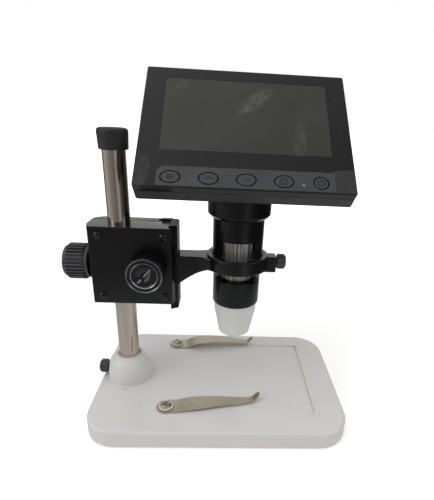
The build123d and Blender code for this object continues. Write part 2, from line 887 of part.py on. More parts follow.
with BuildPart() as focus_knob_disc:
    with BuildSketch(front_plane(focus_inner - focus_length + focus_disc_thickness)):
        with Locations((pinion_x, pinion_z)):
            Circle(focus_disc_radius)
    extrude(amount=focus_disc_thickness - 0.2)
    with BuildSketch(front_plane(focus_inner - focus_length + 0.2)):
        with Locations((pinion_x, pinion_z)):
            with Locations(Rotation(0, 0, 45)):
                with Locations(
                    (focus_slot_start + focus_slot_length / 2, 0), (-focus_slot_start - focus_slot_length / 2, 0)
                ):
                    Rectangle(focus_slot_length, focus_slot_width)
    extrude(amount=-focus_slot_depth, mode=Mode.SUBTRACT)

# Slider: a dovetail bar in the block's channel, with a rack on its back
with BuildPart() as focus_slider:
    with BuildSketch(Plane.XY.offset(slider_bottom)):
        Polygon(*dovetail_points(), align=None)
    extrude(amount=slider_height)
    for height in arm_screw_heights:
        with BuildSketch(side_plane(slider_back)):
            with Locations((line_y, height)):
                Circle(arm_screw_head_radius + sliding_gap)
        extrude(amount=arm_screw_head + sliding_gap, mode=Mode.SUBTRACT)
        with BuildSketch(side_plane(slider_back)):
            with Locations((line_y, height)):
                Circle(arm_screw_radius + sliding_gap)
        extrude(amount=slider_face - slider_back, mode=Mode.SUBTRACT)

with BuildPart() as focus_rack:
    with BuildSketch(front_plane(rack_y + rack_width / 2)):
        Polygon(*rack_points(), align=None)
    extrude(amount=rack_width)

with BuildPart() as arm_screws:
    for height in arm_screw_heights:
        with BuildSketch(side_plane(slider_back + sliding_gap)):
            with Locations((line_y, height)):
                Circle(arm_screw_head_radius)
                RegularPolygon(arm_screw_head_radius * 0.5, 6, mode=Mode.SUBTRACT)
        extrude(amount=arm_screw_head / 2)
        with BuildSketch(side_plane(slider_back + sliding_gap + arm_screw_head / 2)):
            with Locations((line_y, height)):
                Circle(arm_screw_head_radius)
        extrude(amount=arm_screw_head / 2)
        with BuildSketch(side_plane(slider_back + sliding_gap + arm_screw_head)):
            with Locations((line_y, height)):
                Circle(arm_screw_radius)
        extrude(amount=arm_screw_length)

# Clamp arm: one casting with a hollowed underside, the ring round the tube, and the lug for the ring screw
with BuildPart() as clamp_arm:
    with BuildSketch(front_plane(line_y + arm_width / 2)):
        with BuildLine():
            Polyline(
                (tube_x, ring_bottom),
                (tube_x, arm_top),
                (slider_face, arm_top),
                (slider_face, arm_root_bottom),
            )
            ThreePointArc((slider_face, arm_root_bottom), (arm_mid_x, arm_mid_z), (arm_end_x, arm_end_z))
            Line((arm_end_x, arm_end_z), (tube_x, ring_bottom))
        make_face()
    extrude(amount=arm_width)
    # The arm's sides run into the ring in a hollow curve, which ends inside the ring's wall
    blend_end = ring_radius - ring_round
    reach = sqrt((blend_end + arm_blend) ** 2 - (arm_width / 2 + arm_blend) ** 2)
    share = blend_end / (blend_end + arm_blend)
    middle = Vector(tube_x - reach, line_y - arm_width / 2 - arm_blend)
    start = Vector(tube_x - reach, line_y - arm_width / 2)
    end = Vector(tube_x - reach * share, line_y - (arm_width / 2 + arm_blend) * share)
    halfway = middle + ((start - middle) + (end - middle)).normalized() * arm_blend
    with BuildSketch(Plane.XY.offset(ring_bottom)):
        with BuildLine() as blend:
            ThreePointArc(start, halfway, end)
            Line(end, (tube_x - blend_end, line_y))
            mirror(about=Plane(origin=(0, line_y, 0), z_dir=(0, 1, 0)))
            Line(start, (start.X, 2 * line_y - start.Y))
        make_face()
    extrude(amount=arm_top - ring_bottom)
    with BuildSketch(side_plane(tube_x)):
        with Locations((line_y, (lug_top + lug_bottom) / 2)):
            RectangleRounded(lug_width, lug_top - lug_bottom, lug_round)
    extrude(amount=lug_end - tube_x)
    with BuildSketch(tube_section):
        with Locations(((ring_radius + ring_bore) / 2 - ring_round, (ring_bottom + ring_top) / 2)):
            RectangleRounded(ring_radius - ring_bore + 2 * ring_round, ring_top - ring_bottom, ring_round)
    revolve(axis=tube_axis)
    with BuildSketch(Plane.XY.offset(lug_bottom - 1.0)):
        with Locations((tube_x, line_y)):
            Circle(ring_bore)
    extrude(amount=ring_top - lug_bottom + 2.0, mode=Mode.SUBTRACT)
    with BuildSketch(side_plane(tube_x)):
        with Locations((line_y, ring_screw_height)):
            Circle(ring_screw_radius + running_gap)
    extrude(amount=lug_end - tube_x, mode=Mode.SUBTRACT)
    with BuildSketch(side_plane(slider_face)):
        for height in arm_screw_heights:
            with Locations((line_y, height)):
                Circle(arm_screw_radius + fit_gap)
    extrude(amount=arm_screw_length + sliding_gap - (slider_face - slider_back - arm_screw_head), mode=Mode.SUBTRACT)

# Liner: turns in the ring and lets the tube slide
with BuildPart() as ring_liner:
    with BuildSketch(Plane.XY.offset(ring_bottom)):
        with Locations((tube_x, line_y)):
            Circle(liner_outer)
    extrude(amount=ring_top - ring_bottom + sliding_gap)
    with BuildSketch(Plane.XY.offset(ring_top + sliding_gap)):
        with Locations((tube_x, line_y)):
            Circle(liner_flange_radius)
    extrude(amount=liner_flange)
    with BuildSketch(Plane.XY.offset(ring_bottom)):
        with Locations((tube_x, line_y)):
            Circle(liner_inner)
    extrude(amount=ring_top, mode=Mode.SUBTRACT)

with BuildPart() as ring_screw:
    with BuildSketch(side_plane(ring_screw_head_inner)):
        with Locations((line_y, ring_screw_height)):
            Polygon(*ribbed_points(ring_screw_head_radius, ring_screw_ribs, 0.45), align=None)
    extrude(amount=ring_screw_head_length)
    with BuildSketch(side_plane(ring_screw_head_inner)):
        with Locations((line_y, ring_screw_height)):
            Circle(ring_screw_radius)
    extrude(amount=-(ring_screw_head_inner - tube_x - liner_outer - sliding_gap))

# Tube: thin-walled, with a finger window in front and behind and two inner floors
with BuildPart() as tube:
    with BuildSketch(tube_section):
        with BuildLine():
            Polyline(
                (tube_bore, tube_bottom),
                (tube_slim_radius - tube_lip_round, tube_bottom),
            )
            RadiusArc(
                (tube_slim_radius - tube_lip_round, tube_bottom),
                (tube_slim_radius, tube_bottom + tube_lip_round),
                -tube_lip_round,
            )
            Polyline(
                (tube_slim_radius, tube_bottom + tube_lip_round),
                (tube_slim_radius, tube_taper_bottom),
                (tube_radius, tube_taper_top),
                (tube_radius, tube_top),
                (tube_bore, tube_top),
                (tube_bore, tube_bottom),
            )
        make_face()
    revolve(axis=tube_axis)
    with BuildSketch(front_plane(line_y + neck_radius)):
        with Locations((tube_x, (window_bottom + window_top) / 2)):
            Rectangle(2 * window_half_width, window_top - window_bottom)
    extrude(amount=2 * neck_radius, mode=Mode.SUBTRACT)
    with BuildSketch(Plane.XY.offset(lower_floor), Plane.XY.offset(upper_floor)):
        with Locations((tube_x, line_y)):
            Circle(tube_bore + 0.2)
            Circle(carrier_radius + free_gap, mode=Mode.SUBTRACT)
    extrude(amount=floor_thickness)

# Neck: the thicker sleeve that carries the display, cut off square to the display's back
with BuildPart() as neck:
    with BuildSketch(tube_section):
        with BuildLine():
            Polyline(
                (tube_radius + fit_gap, neck_bottom),
                (neck_radius - neck_chamfer, neck_bottom),
                (neck_radius, neck_bottom + neck_chamfer),
                (neck_radius, display_centre[2] + neck_radius),
                (tube_radius + fit_gap, display_centre[2] + neck_radius),
                (tube_radius + fit_gap, neck_bottom),
            )
        make_face()
    revolve(axis=tube_axis)
    split(bisect_by=back_plane, keep=Keep.BOTTOM)

with BuildPart() as focus_ring:
    with BuildSketch(Plane.XY.offset(ring_knurl_bottom)):
        with Locations((tube_x, line_y)):
            Circle(ring_knurl_radius)
    extrude(amount=upper_floor - sliding_gap - ring_knurl_bottom)
    with BuildSketch(Plane.XY.offset(lower_floor + floor_thickness + sliding_gap)):
        with Locations((tube_x, line_y)):
            Circle(ring_hub_radius)
    extrude(amount=ring_knurl_bottom - lower_floor - floor_thickness - sliding_gap)
    with BuildSketch(Plane.XY.offset(lower_floor)):
        with Locations((tube_x, line_y)):
            Circle(carrier_radius + running_gap)
    extrude(amount=upper_floor - lower_floor, mode=Mode.SUBTRACT)

with BuildPart() as lens_carrier:
    with BuildSketch(Plane.XY.offset(carrier_bottom)):
        with Locations((tube_x, line_y)):
            Circle(carrier_radius)
            Circle(carrier_bore, mode=Mode.SUBTRACT)
    extrude(amount=carrier_top - carrier_bottom)
    chamfer(lens_carrier.edges().group_by(Axis.Z)[0], 0.4)

with BuildPart() as lens:
    with BuildSketch(tube_section):
        with BuildLine():
            lens_low = carrier_bottom + lens_rise + lens_bulge
            lens_high = lens_low + lens_thickness
            lens_edge = carrier_bore - fit_gap
            Line((0, lens_low - lens_bulge), (0, lens_high + lens_bulge))
            TangentArc((0, lens_high + lens_bulge), (lens_edge, lens_high), tangent=(1, 0))
            Line((lens_edge, lens_high), (lens_edge, lens_low))
            TangentArc((0, lens_low - lens_bulge), (lens_edge, lens_low), tangent=(1, 0))
        make_face()
    revolve(axis=tube_axis)

# Light ring: a holder under the lower floor, its board and the lamps round the lens
with BuildPart() as led_holder:
    with BuildSketch(Plane.XY.offset(led_board_bottom + led_board_thickness)):
        with Locations((tube_x, line_y)):
            Circle(holder_radius)
            Circle(holder_radius - holder_wall, mode=Mode.SUBTRACT)
    extrude(amount=lower_floor - led_board_bottom - led_board_thickness)

with BuildPart() as led_board:
    with BuildSketch(Plane.XY.offset(led_board_bottom)):
        with Locations((tube_x, line_y)):
            Circle(led_board_radius)
            Circle(led_board_bore, mode=Mode.SUBTRACT)
    extrude(amount=led_board_thickness)

with BuildPart() as leds:
    with BuildSketch(Plane.XY.offset(led_board_bottom - led_height)):
        with Locations((tube_x, line_y)):
            with PolarLocations(led_circle, led_count):
                Rectangle(led_size, led_size)
    extrude(amount=led_height)

with BuildPart() as nose_cover:
    with BuildSketch(tube_section):
        collar_radius_outer = tube_bore - running_gap
        with BuildLine():
            Polyline(
                (nose_bottom_radius - nose_wall, nose_bottom),
                (nose_bottom_radius, nose_bottom),
                (nose_bend_radius, nose_bend),
                (nose_top_radius, nose_top),
                (collar_radius_outer, nose_top),
                (collar_radius_outer, nose_top + nose_collar_height),
                (collar_radius_outer - nose_wall, nose_top + nose_collar_height),
                (collar_radius_outer - nose_wall, nose_top - 1.0),
                (nose_bend_radius - nose_wall, nose_bend),
                (nose_bottom_radius - nose_wall, nose_bottom),
            )
        make_face()
    revolve(axis=tube_axis)

with BuildPart() as sensor_board:
    with BuildSketch(Plane.XY.offset(upper_floor + floor_thickness)):
        with Locations((tube_x, line_y)):
            Circle(sensor_board_radius)
    extrude(amount=sensor_board_thickness)
    with BuildSketch(Plane.XY.offset(upper_floor + floor_thickness - sensor_height)):
        with Locations((tube_x, line_y)):
            Rectangle(sensor_size, sensor_size)
    extrude(amount=sensor_height)

# Display: a shallow front panel over a rear housing, with the keys and the screen between them
with BuildPart() as front_panel:
    with BuildSketch(face_plane.offset(-panel_depth)):
        RectangleRounded(display_width, display_height, display_corner)
    extrude(amount=panel_depth)
    chamfer(front_panel.faces().sort_by(Axis(display_centre, face_plane.z_dir))[-1].edges(), panel_edge_round / 2)
    with BuildSketch(face_plane.offset(-panel_depth)):
        RectangleRounded(
            display_width - 2 * panel_wall, display_height - 2 * panel_wall, display_corner - panel_wall
        )
    extrude(amount=panel_depth - panel_face, mode=Mode.SUBTRACT)
    with BuildSketch(face_plane.offset(-panel_depth)):
        with Locations(*[(side * housing_screw_u, v) for side in (-1, 1) for v in housing_screw_v]):
            Circle(housing_post_radius)
    extrude(amount=panel_depth - panel_face)
    with BuildSketch(face_plane.offset(-panel_depth)):
        with Locations(*[(side * housing_screw_u, v) for side in (-1, 1) for v in housing_screw_v]):
            Circle(housing_screw_radius + fit_gap)
    extrude(amount=panel_depth - panel_face + 1.0, mode=Mode.SUBTRACT)
    with BuildSketch(face_plane):
        with Locations((0, screen_rise)):
            Rectangle(screen_width, screen_height)
    extrude(amount=-panel_face, mode=Mode.SUBTRACT)
    extrude(strip_outline(face_plane, 0.0), amount=-strip_thickness, mode=Mode.SUBTRACT)
    with BuildSketch(face_plane):
        for name, u in key_places.items():
            with Locations((u, key_row)):
                if name == "power":
                    Circle(power_diameter / 2 + key_gap)
                else:
                    Ellipse(key_width / 2 + key_gap, key_height / 2 + key_gap)
        with Locations(lamp_place):
            Circle(lamp_radius + fit_gap)
    extrude(amount=-panel_face, mode=Mode.SUBTRACT)

with BuildPart() as key_strip:
    extrude(strip_outline(face_plane, fit_gap), amount=-strip_thickness)
    with BuildSketch(face_plane):
        for name, u in key_places.items():
            with Locations((u, key_row)):
                if name == "power":
                    Circle(power_diameter / 2 + key_gap)
                else:
                    Ellipse(key_width / 2 + key_gap, key_height / 2 + key_gap)
        with Locations(lamp_place):
            Circle(lamp_radius + fit_gap)
    extrude(amount=-strip_thickness, mode=Mode.SUBTRACT)

with BuildPart() as lcd_module:
    with BuildSketch(face_plane.offset(-panel_face)):
        with Locations((0, screen_rise)):
            RectangleRounded(lcd_width, lcd_height, 1.0)
    extrude(amount=-lcd_thickness)

with BuildPart() as rear_housing:
    with BuildSketch(back_plane):
        RectangleRounded(display_width, display_height, display_corner)
    extrude(amount=display_thickness - panel_depth - parting_gap)
    fillet(
        rear_housing.faces().sort_by(Axis(display_centre, face_plane.z_dir))[0].edges(), housing_back_round
    )
    with BuildSketch(parting_plane):
        RectangleRounded(
            display_width - 2 * panel_wall - 2 * fit_gap,
            display_height - 2 * panel_wall - 2 * fit_gap,
            display_corner - panel_wall - fit_gap,
        )
    extrude(amount=panel_depth + parting_gap - panel_face - sliding_gap)
    with BuildSketch(back_plane.offset(housing_wall)):
        RectangleRounded(
            display_width - 2 * (panel_wall + fit_gap + lip_wall),
            display_height - 2 * (panel_wall + fit_gap + lip_wall),
            0.5,
        )
    extrude(amount=display_thickness, mode=Mode.SUBTRACT)
    with BuildSketch(parting_plane):
        with Locations((0, -display_height / 2)):
            Rectangle(key_board_length + 2.0, 4 * (panel_wall + lip_wall))
    extrude(amount=panel_depth, mode=Mode.SUBTRACT)
    with BuildSketch(back_plane.offset(housing_wall)):
        with Locations(*[(side * housing_screw_u, v) for side in (-1, 1) for v in housing_screw_v]):
            Circle(housing_post_radius)
    extrude(amount=display_thickness - housing_wall - panel_depth - fit_gap)
    with BuildSketch(back_plane):
        with Locations(*[(side * housing_screw_u, v) for side in (-1, 1) for v in housing_screw_v]):
            Circle(housing_screw_radius + sliding_gap)
    extrude(amount=display_thickness, mode=Mode.SUBTRACT)
    with BuildSketch(back_plane):
        with Locations(*[(side * housing_screw_u, v) for side in (-1, 1) for v in housing_screw_v]):
            Circle(housing_screw_head_radius + sliding_gap)
    extrude(amount=housing_screw_head + 0.4, mode=Mode.SUBTRACT)
    with BuildSketch(Plane.XY.offset(neck_bottom)):
        with Locations((tube_x, line_y)):
            Circle(tube_bore - 3.0)
    extrude(amount=display_height, mode=Mode.SUBTRACT)
    # Openings in the right-hand wall: power socket, card slot and the slot of the dimmer wheel
    with BuildSketch(face_plane.offset(-port_middle)):
        with Locations((display_width / 2, port_v)):
            Rectangle(2 * (panel_wall + fit_gap + lip_wall), port_width + 2 * fit_gap)
    extrude(amount=port_height / 2 + fit_gap, both=True, mode=Mode.SUBTRACT)
    with BuildSketch(face_plane.offset(-card_middle)):
        with Locations((display_width / 2, card_v)):
            Rectangle(2 * (panel_wall + fit_gap + lip_wall), card_width + 2 * fit_gap)
    extrude(amount=card_height / 2 + fit_gap, both=True, mode=Mode.SUBTRACT)
    with BuildSketch(face_plane.offset(-wheel_depth)):
        with Locations((display_width / 2 + wheel_proud - wheel_radius, wheel_v)):
            Circle(wheel_radius + free_gap)
    extrude(amount=wheel_thickness / 2 + free_gap, both=True, mode=Mode.SUBTRACT)
    # Pin that the dimmer wheel turns on
    with BuildSketch(back_plane.offset(housing_wall)):
        with Locations((display_width / 2 + wheel_proud - wheel_radius, wheel_v)):
            Circle(wheel_pin_radius)
    extrude(amount=display_thickness - housing_wall - wheel_depth + wheel_thickness / 2)

with BuildPart() as housing_screws:
    with BuildSketch(back_plane.offset(0.4)):
        with Locations(*[(side * housing_screw_u, v) for side in (-1, 1) for v in housing_screw_v]):
            Circle(housing_screw_head_radius)
    extrude(amount=housing_screw_head)
    with BuildSketch(back_plane.offset(0.4 + housing_screw_head)):
        with Locations(*[(side * housing_screw_u, v) for side in (-1, 1) for v in housing_screw_v]):
            Circle(housing_screw_radius)
    extrude(amount=display_thickness - panel_face - housing_screw_head - 0.4)

with BuildPart() as main_board:
    with BuildSketch(face_plane.offset(-board_top)):
        with Locations(((main_board_left + main_board_right) / 2, main_board_v)):
            Rectangle(main_board_right - main_board_left, main_board_height)
    extrude(amount=-main_board_thickness)
    with BuildSketch(face_plane.offset(-board_under)):
        with Locations((main_board_left + processor_place[0], main_board_v + processor_place[1])):
            Rectangle(processor_size, processor_size)
        with Locations((main_board_left + memory_place[0], main_board_v + memory_place[1])):
            Rectangle(*memory_size)
    extrude(amount=-chip_height)

with BuildPart() as battery:
    with BuildSketch(back_plane.offset(housing_wall + sliding_gap)):
        with Locations((battery_u, battery_v)):
            RectangleRounded(battery_width, battery_height, 1.5)
    extrude(amount=battery_thickness)

with BuildPart() as key_board:
    key_board_top = panel_face + key_flange_thickness + 2 * sliding_gap + key_travel + switch_height
    with BuildSketch(face_plane.offset(-key_board_top)):
        with Locations((0, key_row)):
            Rectangle(key_board_length, key_board_height)
    extrude(amount=-key_board_thickness)
    with BuildSketch(face_plane.offset(-key_board_top)):
        for u in key_places.values():
            with Locations((u, key_row)):
                Rectangle(switch_size, switch_size)
    extrude(amount=switch_height)

with BuildPart() as status_lamp:
    with BuildSketch(face_plane.offset(-key_board_top)):
        with Locations(lamp_place):
            Circle(lamp_radius)
    extrude(amount=key_board_top)

# Keys: each cap passes the strip and the panel, and a flange under the panel keeps it in
keys = {}
for key_name, key_u in key_places.items():
    with BuildPart() as key:
        half_width = power_diameter / 2 if key_name == "power" else key_width / 2
        half_height = power_diameter / 2 if key_name == "power" else key_height / 2
        with BuildSketch(face_plane.offset(-panel_face - sliding_gap)):
            with Locations((key_u, key_row)):
                Ellipse(half_width + key_flange * 0.9, half_height + key_flange * 0.9)
        extrude(amount=-key_flange_thickness)
        with BuildSketch(face_plane.offset(-panel_face - sliding_gap)):
            with Locations((key_u, key_row)):
                if key_name == "power":
                    Circle(half_width)
                else:
                    Ellipse(half_width, half_height)
        extrude(amount=panel_face + sliding_gap + key_proud)
        chamfer(key.faces().sort_by(Axis(display_centre, face_plane.z_dir))[-1].edges(), 0.3)
    keys[key_name] = key

with BuildPart() as dimmer_wheel:
    with BuildSketch(face_plane.offset(-wheel_depth - wheel_thickness / 2)):
        with Locations((display_width / 2 + wheel_proud - wheel_radius, wheel_v)):
            Polygon(*ribbed_points(wheel_radius, wheel_ribs, 0.3), align=None)
            Circle(wheel_pin_radius + running_gap, mode=Mode.SUBTRACT)
    extrude(amount=wheel_thickness)

with BuildPart() as power_socket:
    with BuildSketch(face_plane.offset(-port_middle)):
        with Locations((display_width / 2 - socket_inset, port_v)):
            Rectangle(port_depth, port_width, align=(Align.MAX, Align.CENTER))
    extrude(amount=port_height / 2, both=True)
    with BuildSketch(face_plane.offset(-port_middle)):
        with Locations((display_width / 2 - socket_inset, port_v)):
            Rectangle(port_depth - 1.0, port_width - 1.0, align=(Align.MAX, Align.CENTER))
    extrude(amount=port_height / 2 - 0.5, both=True, mode=Mode.SUBTRACT)

with BuildPart() as card_slot:
    with BuildSketch(face_plane.offset(-card_middle)):
        with Locations((display_width / 2 - socket_inset, card_v)):
            Rectangle(card_depth, card_width, align=(Align.MAX, Align.CENTER))
    extrude(amount=card_height / 2, both=True)
    with BuildSketch(face_plane.offset(-card_middle)):
        with Locations((display_width / 2 - socket_inset, card_v)):
            Rectangle(card_depth - 1.0, card_width - 1.0, align=(Align.MAX, Align.CENTER))
    extrude(amount=card_height / 2 - 0.5, both=True, mode=Mode.SUBTRACT)


def stage_clip(place, turn, arch):
    """A spring-steel clip: a flat eye, an arm that rises and falls to the stage, and a tip that turns up."""
    along = (cos(radians(turn)), sin(radians(turn)), 0)
    across = (sin(radians(turn)), -cos(radians(turn)), 0)
    side = Plane(origin=(place[0], place[1], clip_bottom + clip_thickness / 2), x_dir=along, z_dir=across)
    flat = Plane(origin=(place[0], place[1], 0), x_dir=along, z_dir=(0, 0, 1))
    with BuildPart() as clip:
        with BuildSketch(side):
            with BuildLine() as spine:
                Polyline((-clip_half_width, 0), (clip_eye_end, 0))
                Spline(
                    (clip_eye_end, 0),
                    (clip_arm_start, 0.8 * arch),
                    ((2 * clip_arm_start + clip_arm_end) / 3, arch),
                    ((clip_arm_start + 2 * clip_arm_end) / 3, 0.85 * arch),
                    (clip_arm_end, 0.45 * arch),
                    (clip_tab_start, clip_tab_rise - (clip_reach - clip_tab_start) * clip_tab_slope),
                    tangents=((1, 0), (1, clip_tab_slope)),
                )
                Line(
                    (clip_tab_start, clip_tab_rise - (clip_reach - clip_tab_start) * clip_tab_slope),
                    (clip_reach, clip_tab_rise),
                )
            trace(line_width=clip_thickness)
        extrude(amount=clip_half_width + 1.0, both=True)
        with BuildSketch(flat):
            Circle(clip_half_width)
            with BuildLine():
                Polyline(
                    (0, -clip_half_width),
                    (clip_taper_start, -clip_half_width),
                    (clip_reach - clip_tip_half_width, -clip_tip_half_width),
                )
                RadiusArc(
                    (clip_reach - clip_tip_half_width, -clip_tip_half_width),
                    (clip_reach - clip_tip_half_width, clip_tip_half_width),
                    -clip_tip_half_width,
                )
                Polyline(
                    (clip_reach - clip_tip_half_width, clip_tip_half_width),
                    (clip_taper_start, clip_half_width),
                    (0, clip_half_width),
                    (0, -clip_half_width),
                )
            make_face()
            Circle(clip_hole_radius, mode=Mode.SUBTRACT)
        extrude(amount=base_top * 3, mode=Mode.INTERSECT)
    return clip


stage_clip_front = stage_clip(clip_front, clip_front_turn, clip_front_arch)
stage_clip_rear = stage_clip(clip_rear, clip_rear_turn, clip_rear_arch)

with BuildPart() as clip_washers:
    with BuildSketch(Plane.XY.offset(washer_bottom)):
        with Locations(clip_front, clip_rear):
            Circle(washer_radius)
            Circle(clip_screw_radius + fit_gap, mode=Mode.SUBTRACT)
    extrude(amount=washer_thickness)

with BuildPart() as clip_screws:
    with BuildSketch(Plane.XY.offset(washer_bottom + washer_thickness)):
        with Locations(clip_front, clip_rear):
            Circle(clip_screw_head_radius)
    extrude(amount=clip_screw_head)
    chamfer(clip_screws.edges().group_by(Axis.Z)[-1], 0.7)
    with BuildSketch(Plane.XY.offset(washer_bottom + washer_thickness + clip_screw_head)):
        with Locations(clip_front, clip_rear):
            Rectangle(clip_screw_slot, 2 * clip_screw_head_radius)
    extrude(amount=-clip_screw_slot, mode=Mode.SUBTRACT)
    with BuildSketch(Plane.XY.offset(washer_bottom + washer_thickness)):
        with Locations(clip_front, clip_rear):
            Circle(clip_screw_radius)
    extrude(amount=-(washer_bottom + washer_thickness - skin_underside + clip_boss_depth - 1.4))

pieces = {
    "base_cover": base_cover,
    "base_plate": base_plate,
    "rubber_feet": rubber_feet,
    "base_screws": base_screws,
    "ballast": ballast,
    "column_ferrule": column_ferrule,
    "clip_washers": clip_washers,
    "clip_screws": clip_screws,
    "stage_clip_front": stage_clip_front,
    "stage_clip_rear": stage_clip_rear,
    "base_lock_screw": base_lock_screw,
    "column": column,
    "column_cap": column_cap,
    "column_sleeve": column_sleeve,
    "block_body": block_body,
    "block_back_cover": block_back_cover,
    "block_screws": block_screws,
    "lock_knob": lock_knob,
    "lock_stud": lock_stud,
    "shaft_bearing": shaft_bearing,
    "pinion_shaft": pinion_shaft,
    "focus_knob": focus_knob,
    "focus_knob_disc": focus_knob_disc,
    "focus_slider": focus_slider,
    "focus_rack": focus_rack,
    "arm_screws": arm_screws,
    "clamp_arm": clamp_arm,
    "ring_liner": ring_liner,
    "ring_screw": ring_screw,
    "tube": tube,
    "neck": neck,
    "focus_ring": focus_ring,
    "lens_carrier": lens_carrier,
    "lens": lens,
    "led_holder": led_holder,
    "led_board": led_board,
    "leds": leds,
    "nose_cover": nose_cover,
    "sensor_board": sensor_board,
    "front_panel": front_panel,
    "key_strip": key_strip,
    "lcd_module": lcd_module,
    "rear_housing": rear_housing,
    "housing_screws": housing_screws,
    "main_board": main_board,
    "battery": battery,
    "key_board": key_board,
    "status_lamp": status_lamp,
    "key_menu": keys["menu"],
    "key_up": keys["up"],
    "key_down": keys["down"],
    "key_ok": keys["ok"],
    "key_power": keys["power"],
    "dimmer_wheel": dimmer_wheel,
    "power_socket": power_socket,
    "card_slot": card_slot,
}

os.makedirs("parts", exist_ok=True)
for piece_name, piece in pieces.items():
    piece.part.label = piece_name
    export_step(piece.part, "parts/" + piece_name + ".step")
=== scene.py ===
from math import asin, cos, pi, radians, sin, sqrt, tan

import bmesh
import bpy
from mathutils import Matrix, Vector


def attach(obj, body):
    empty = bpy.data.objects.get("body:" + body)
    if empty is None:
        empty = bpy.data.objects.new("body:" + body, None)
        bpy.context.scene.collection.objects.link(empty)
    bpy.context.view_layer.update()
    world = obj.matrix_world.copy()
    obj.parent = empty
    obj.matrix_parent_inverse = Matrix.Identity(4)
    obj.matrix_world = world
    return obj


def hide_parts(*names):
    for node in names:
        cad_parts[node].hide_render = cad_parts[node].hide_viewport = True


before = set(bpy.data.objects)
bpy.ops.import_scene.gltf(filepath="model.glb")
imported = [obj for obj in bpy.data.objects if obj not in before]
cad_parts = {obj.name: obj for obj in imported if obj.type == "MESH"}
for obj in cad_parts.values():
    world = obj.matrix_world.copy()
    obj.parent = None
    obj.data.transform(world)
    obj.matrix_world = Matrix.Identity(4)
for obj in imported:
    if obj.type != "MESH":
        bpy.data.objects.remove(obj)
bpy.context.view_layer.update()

# Camera
# A camera in front of the bench, a little to the left of the middle and level with the display. It looks
# down on the stage and leans slightly to one side.
camera_place = (-1.78, -235.17, 193.09)
camera_heading = radians(3.44)
camera_dip = radians(23.88)
camera_lean = radians(3.12)
looks_along = Vector(
    (sin(camera_heading) * cos(camera_dip), cos(camera_heading) * cos(camera_dip), -sin(camera_dip))
)
level_right = Vector((cos(camera_heading), -sin(camera_heading), 0))
level_up = level_right.cross(looks_along)
camera_right = level_right * cos(camera_lean) + level_up * sin(camera_lean)
camera_up = level_up * cos(camera_lean) - level_right * sin(camera_lean)
camera = bpy.data.objects.new("camera", bpy.data.cameras.new("camera"))
camera.data.sensor_width = 36.0
camera.data.lens = 27.957
camera.data.shift_x = -0.0483
camera.data.shift_y = 0.0639
camera.data.clip_start = 0.01
camera.data.clip_end = 100.0
camera.matrix_world = Matrix.Translation(Vector(camera_place) / 1000) @ Matrix(
    (camera_right, camera_up, -looks_along)
).transposed().to_4x4()
bpy.context.scene.collection.objects.link(camera)
bpy.context.scene.camera = camera
bpy.context.scene.view_settings.view_transform = "Standard"

# Studio
# A white floor that runs into a white sweep, three soft lamps, and a dim warm room behind the camera.
# Polished metal and gloss show the room as bands of light and dark round the bench, under an even pale
# ceiling.
floor_half, floor_drop = 6.0, 0.0001
floor_colour = "#F7F7F6"
floor_glow = (0.30, 1.0)
floor_glow_reach = (0.2, 0.7)
floor_shine = "#BCC0C2"
floor_shine_reach = (0.19, 0.24)
room_light = 0.62
room_colour = "#B9AA9A"
sweep_colour = "#FFFFFF"
room_front, room_back = -0.95, -0.35
ceiling_left, ceiling_right = "#DEDEDF", "#A9A9AA"
ceiling_spread = (-0.25, 0.3)
ceiling_start, ceiling_end = 0.55, 0.85
room_bands = (
    (-180, "#EAEAE2"),
    (-156, "#DFDFD8"),
    (-146, "#6A6A6A"),
    (-124, "#6C6C6C"),
    (-90, "#BCBDBF"),
    (-62, "#A3A3A5"),
    (-36, "#8C8B8C"),
    (-2, "#717173"),
    (12, "#828284"),
    (27, "#B6B7B9"),
    (39, "#8C8C8E"),
    (52, "#555557"),
    (70, "#3C3C3E"),
    (140, "#353537"),
    (156, "#DFDFD8"),
    (180, "#EAEAE2"),
)


def linear(hex_colour):
    """The linear colour that a shader takes for a colour as it is seen on a screen."""
    channels = [int(hex_colour[i : i + 2], 16) / 255 for i in (1, 3, 5)]
    return [c / 12.92 if c <= 0.04045 else ((c + 0.055) / 1.055) ** 2.4 for c in channels] + [1.0]


def add_node(tree, kind, inputs=None, **settings):
    """Adds a node to a tree with its settings, and fills its inputs with values or links."""
    node = tree.nodes.new(kind)
    for setting, value in settings.items():
        setattr(node, setting, value)
    for socket, value in (inputs or {}).items():
        if isinstance(value, bpy.types.NodeSocket):
            tree.links.new(value, node.inputs[socket])
        else:
            node.inputs[socket].default_value = value
    return node


def between(tree, value, low, high, start=0.35, end=0.65):
    """A number that runs from low to high while the value runs from start to end."""
    return add_node(
        tree,
        "ShaderNodeMapRange",
        {"Value": value, "From Min": start, "From Max": end, "To Min": low, "To Max": high},
    ).outputs[0]


def mixed(tree, factor, first, second):
    """A colour that runs from the first to the second as the factor runs from 0 to 1."""
    # Inputs 6 and 7 are the node's two colours, and output 2 is their mixture
    inputs = {"Factor": factor, 6: first, 7: second}
    return add_node(tree, "ShaderNodeMix", inputs, data_type="RGBA").outputs[2]


def seen_directly(tree):
    """A value of 1 for what the eye, a mirror or clear plastic shows, and 0 for light on a dull surface."""
    path = add_node(tree, "ShaderNodeLightPath").outputs
    mirrored = add_node(
        tree, "ShaderNodeMath", {0: path["Is Camera Ray"], 1: path["Is Glossy Ray"]}, operation="MAXIMUM"
    )
    return add_node(
        tree, "ShaderNodeMath", {0: mirrored.outputs[0], 1: path["Is Transmission Ray"]}, operation="MAXIMUM"
    ).outputs[0]


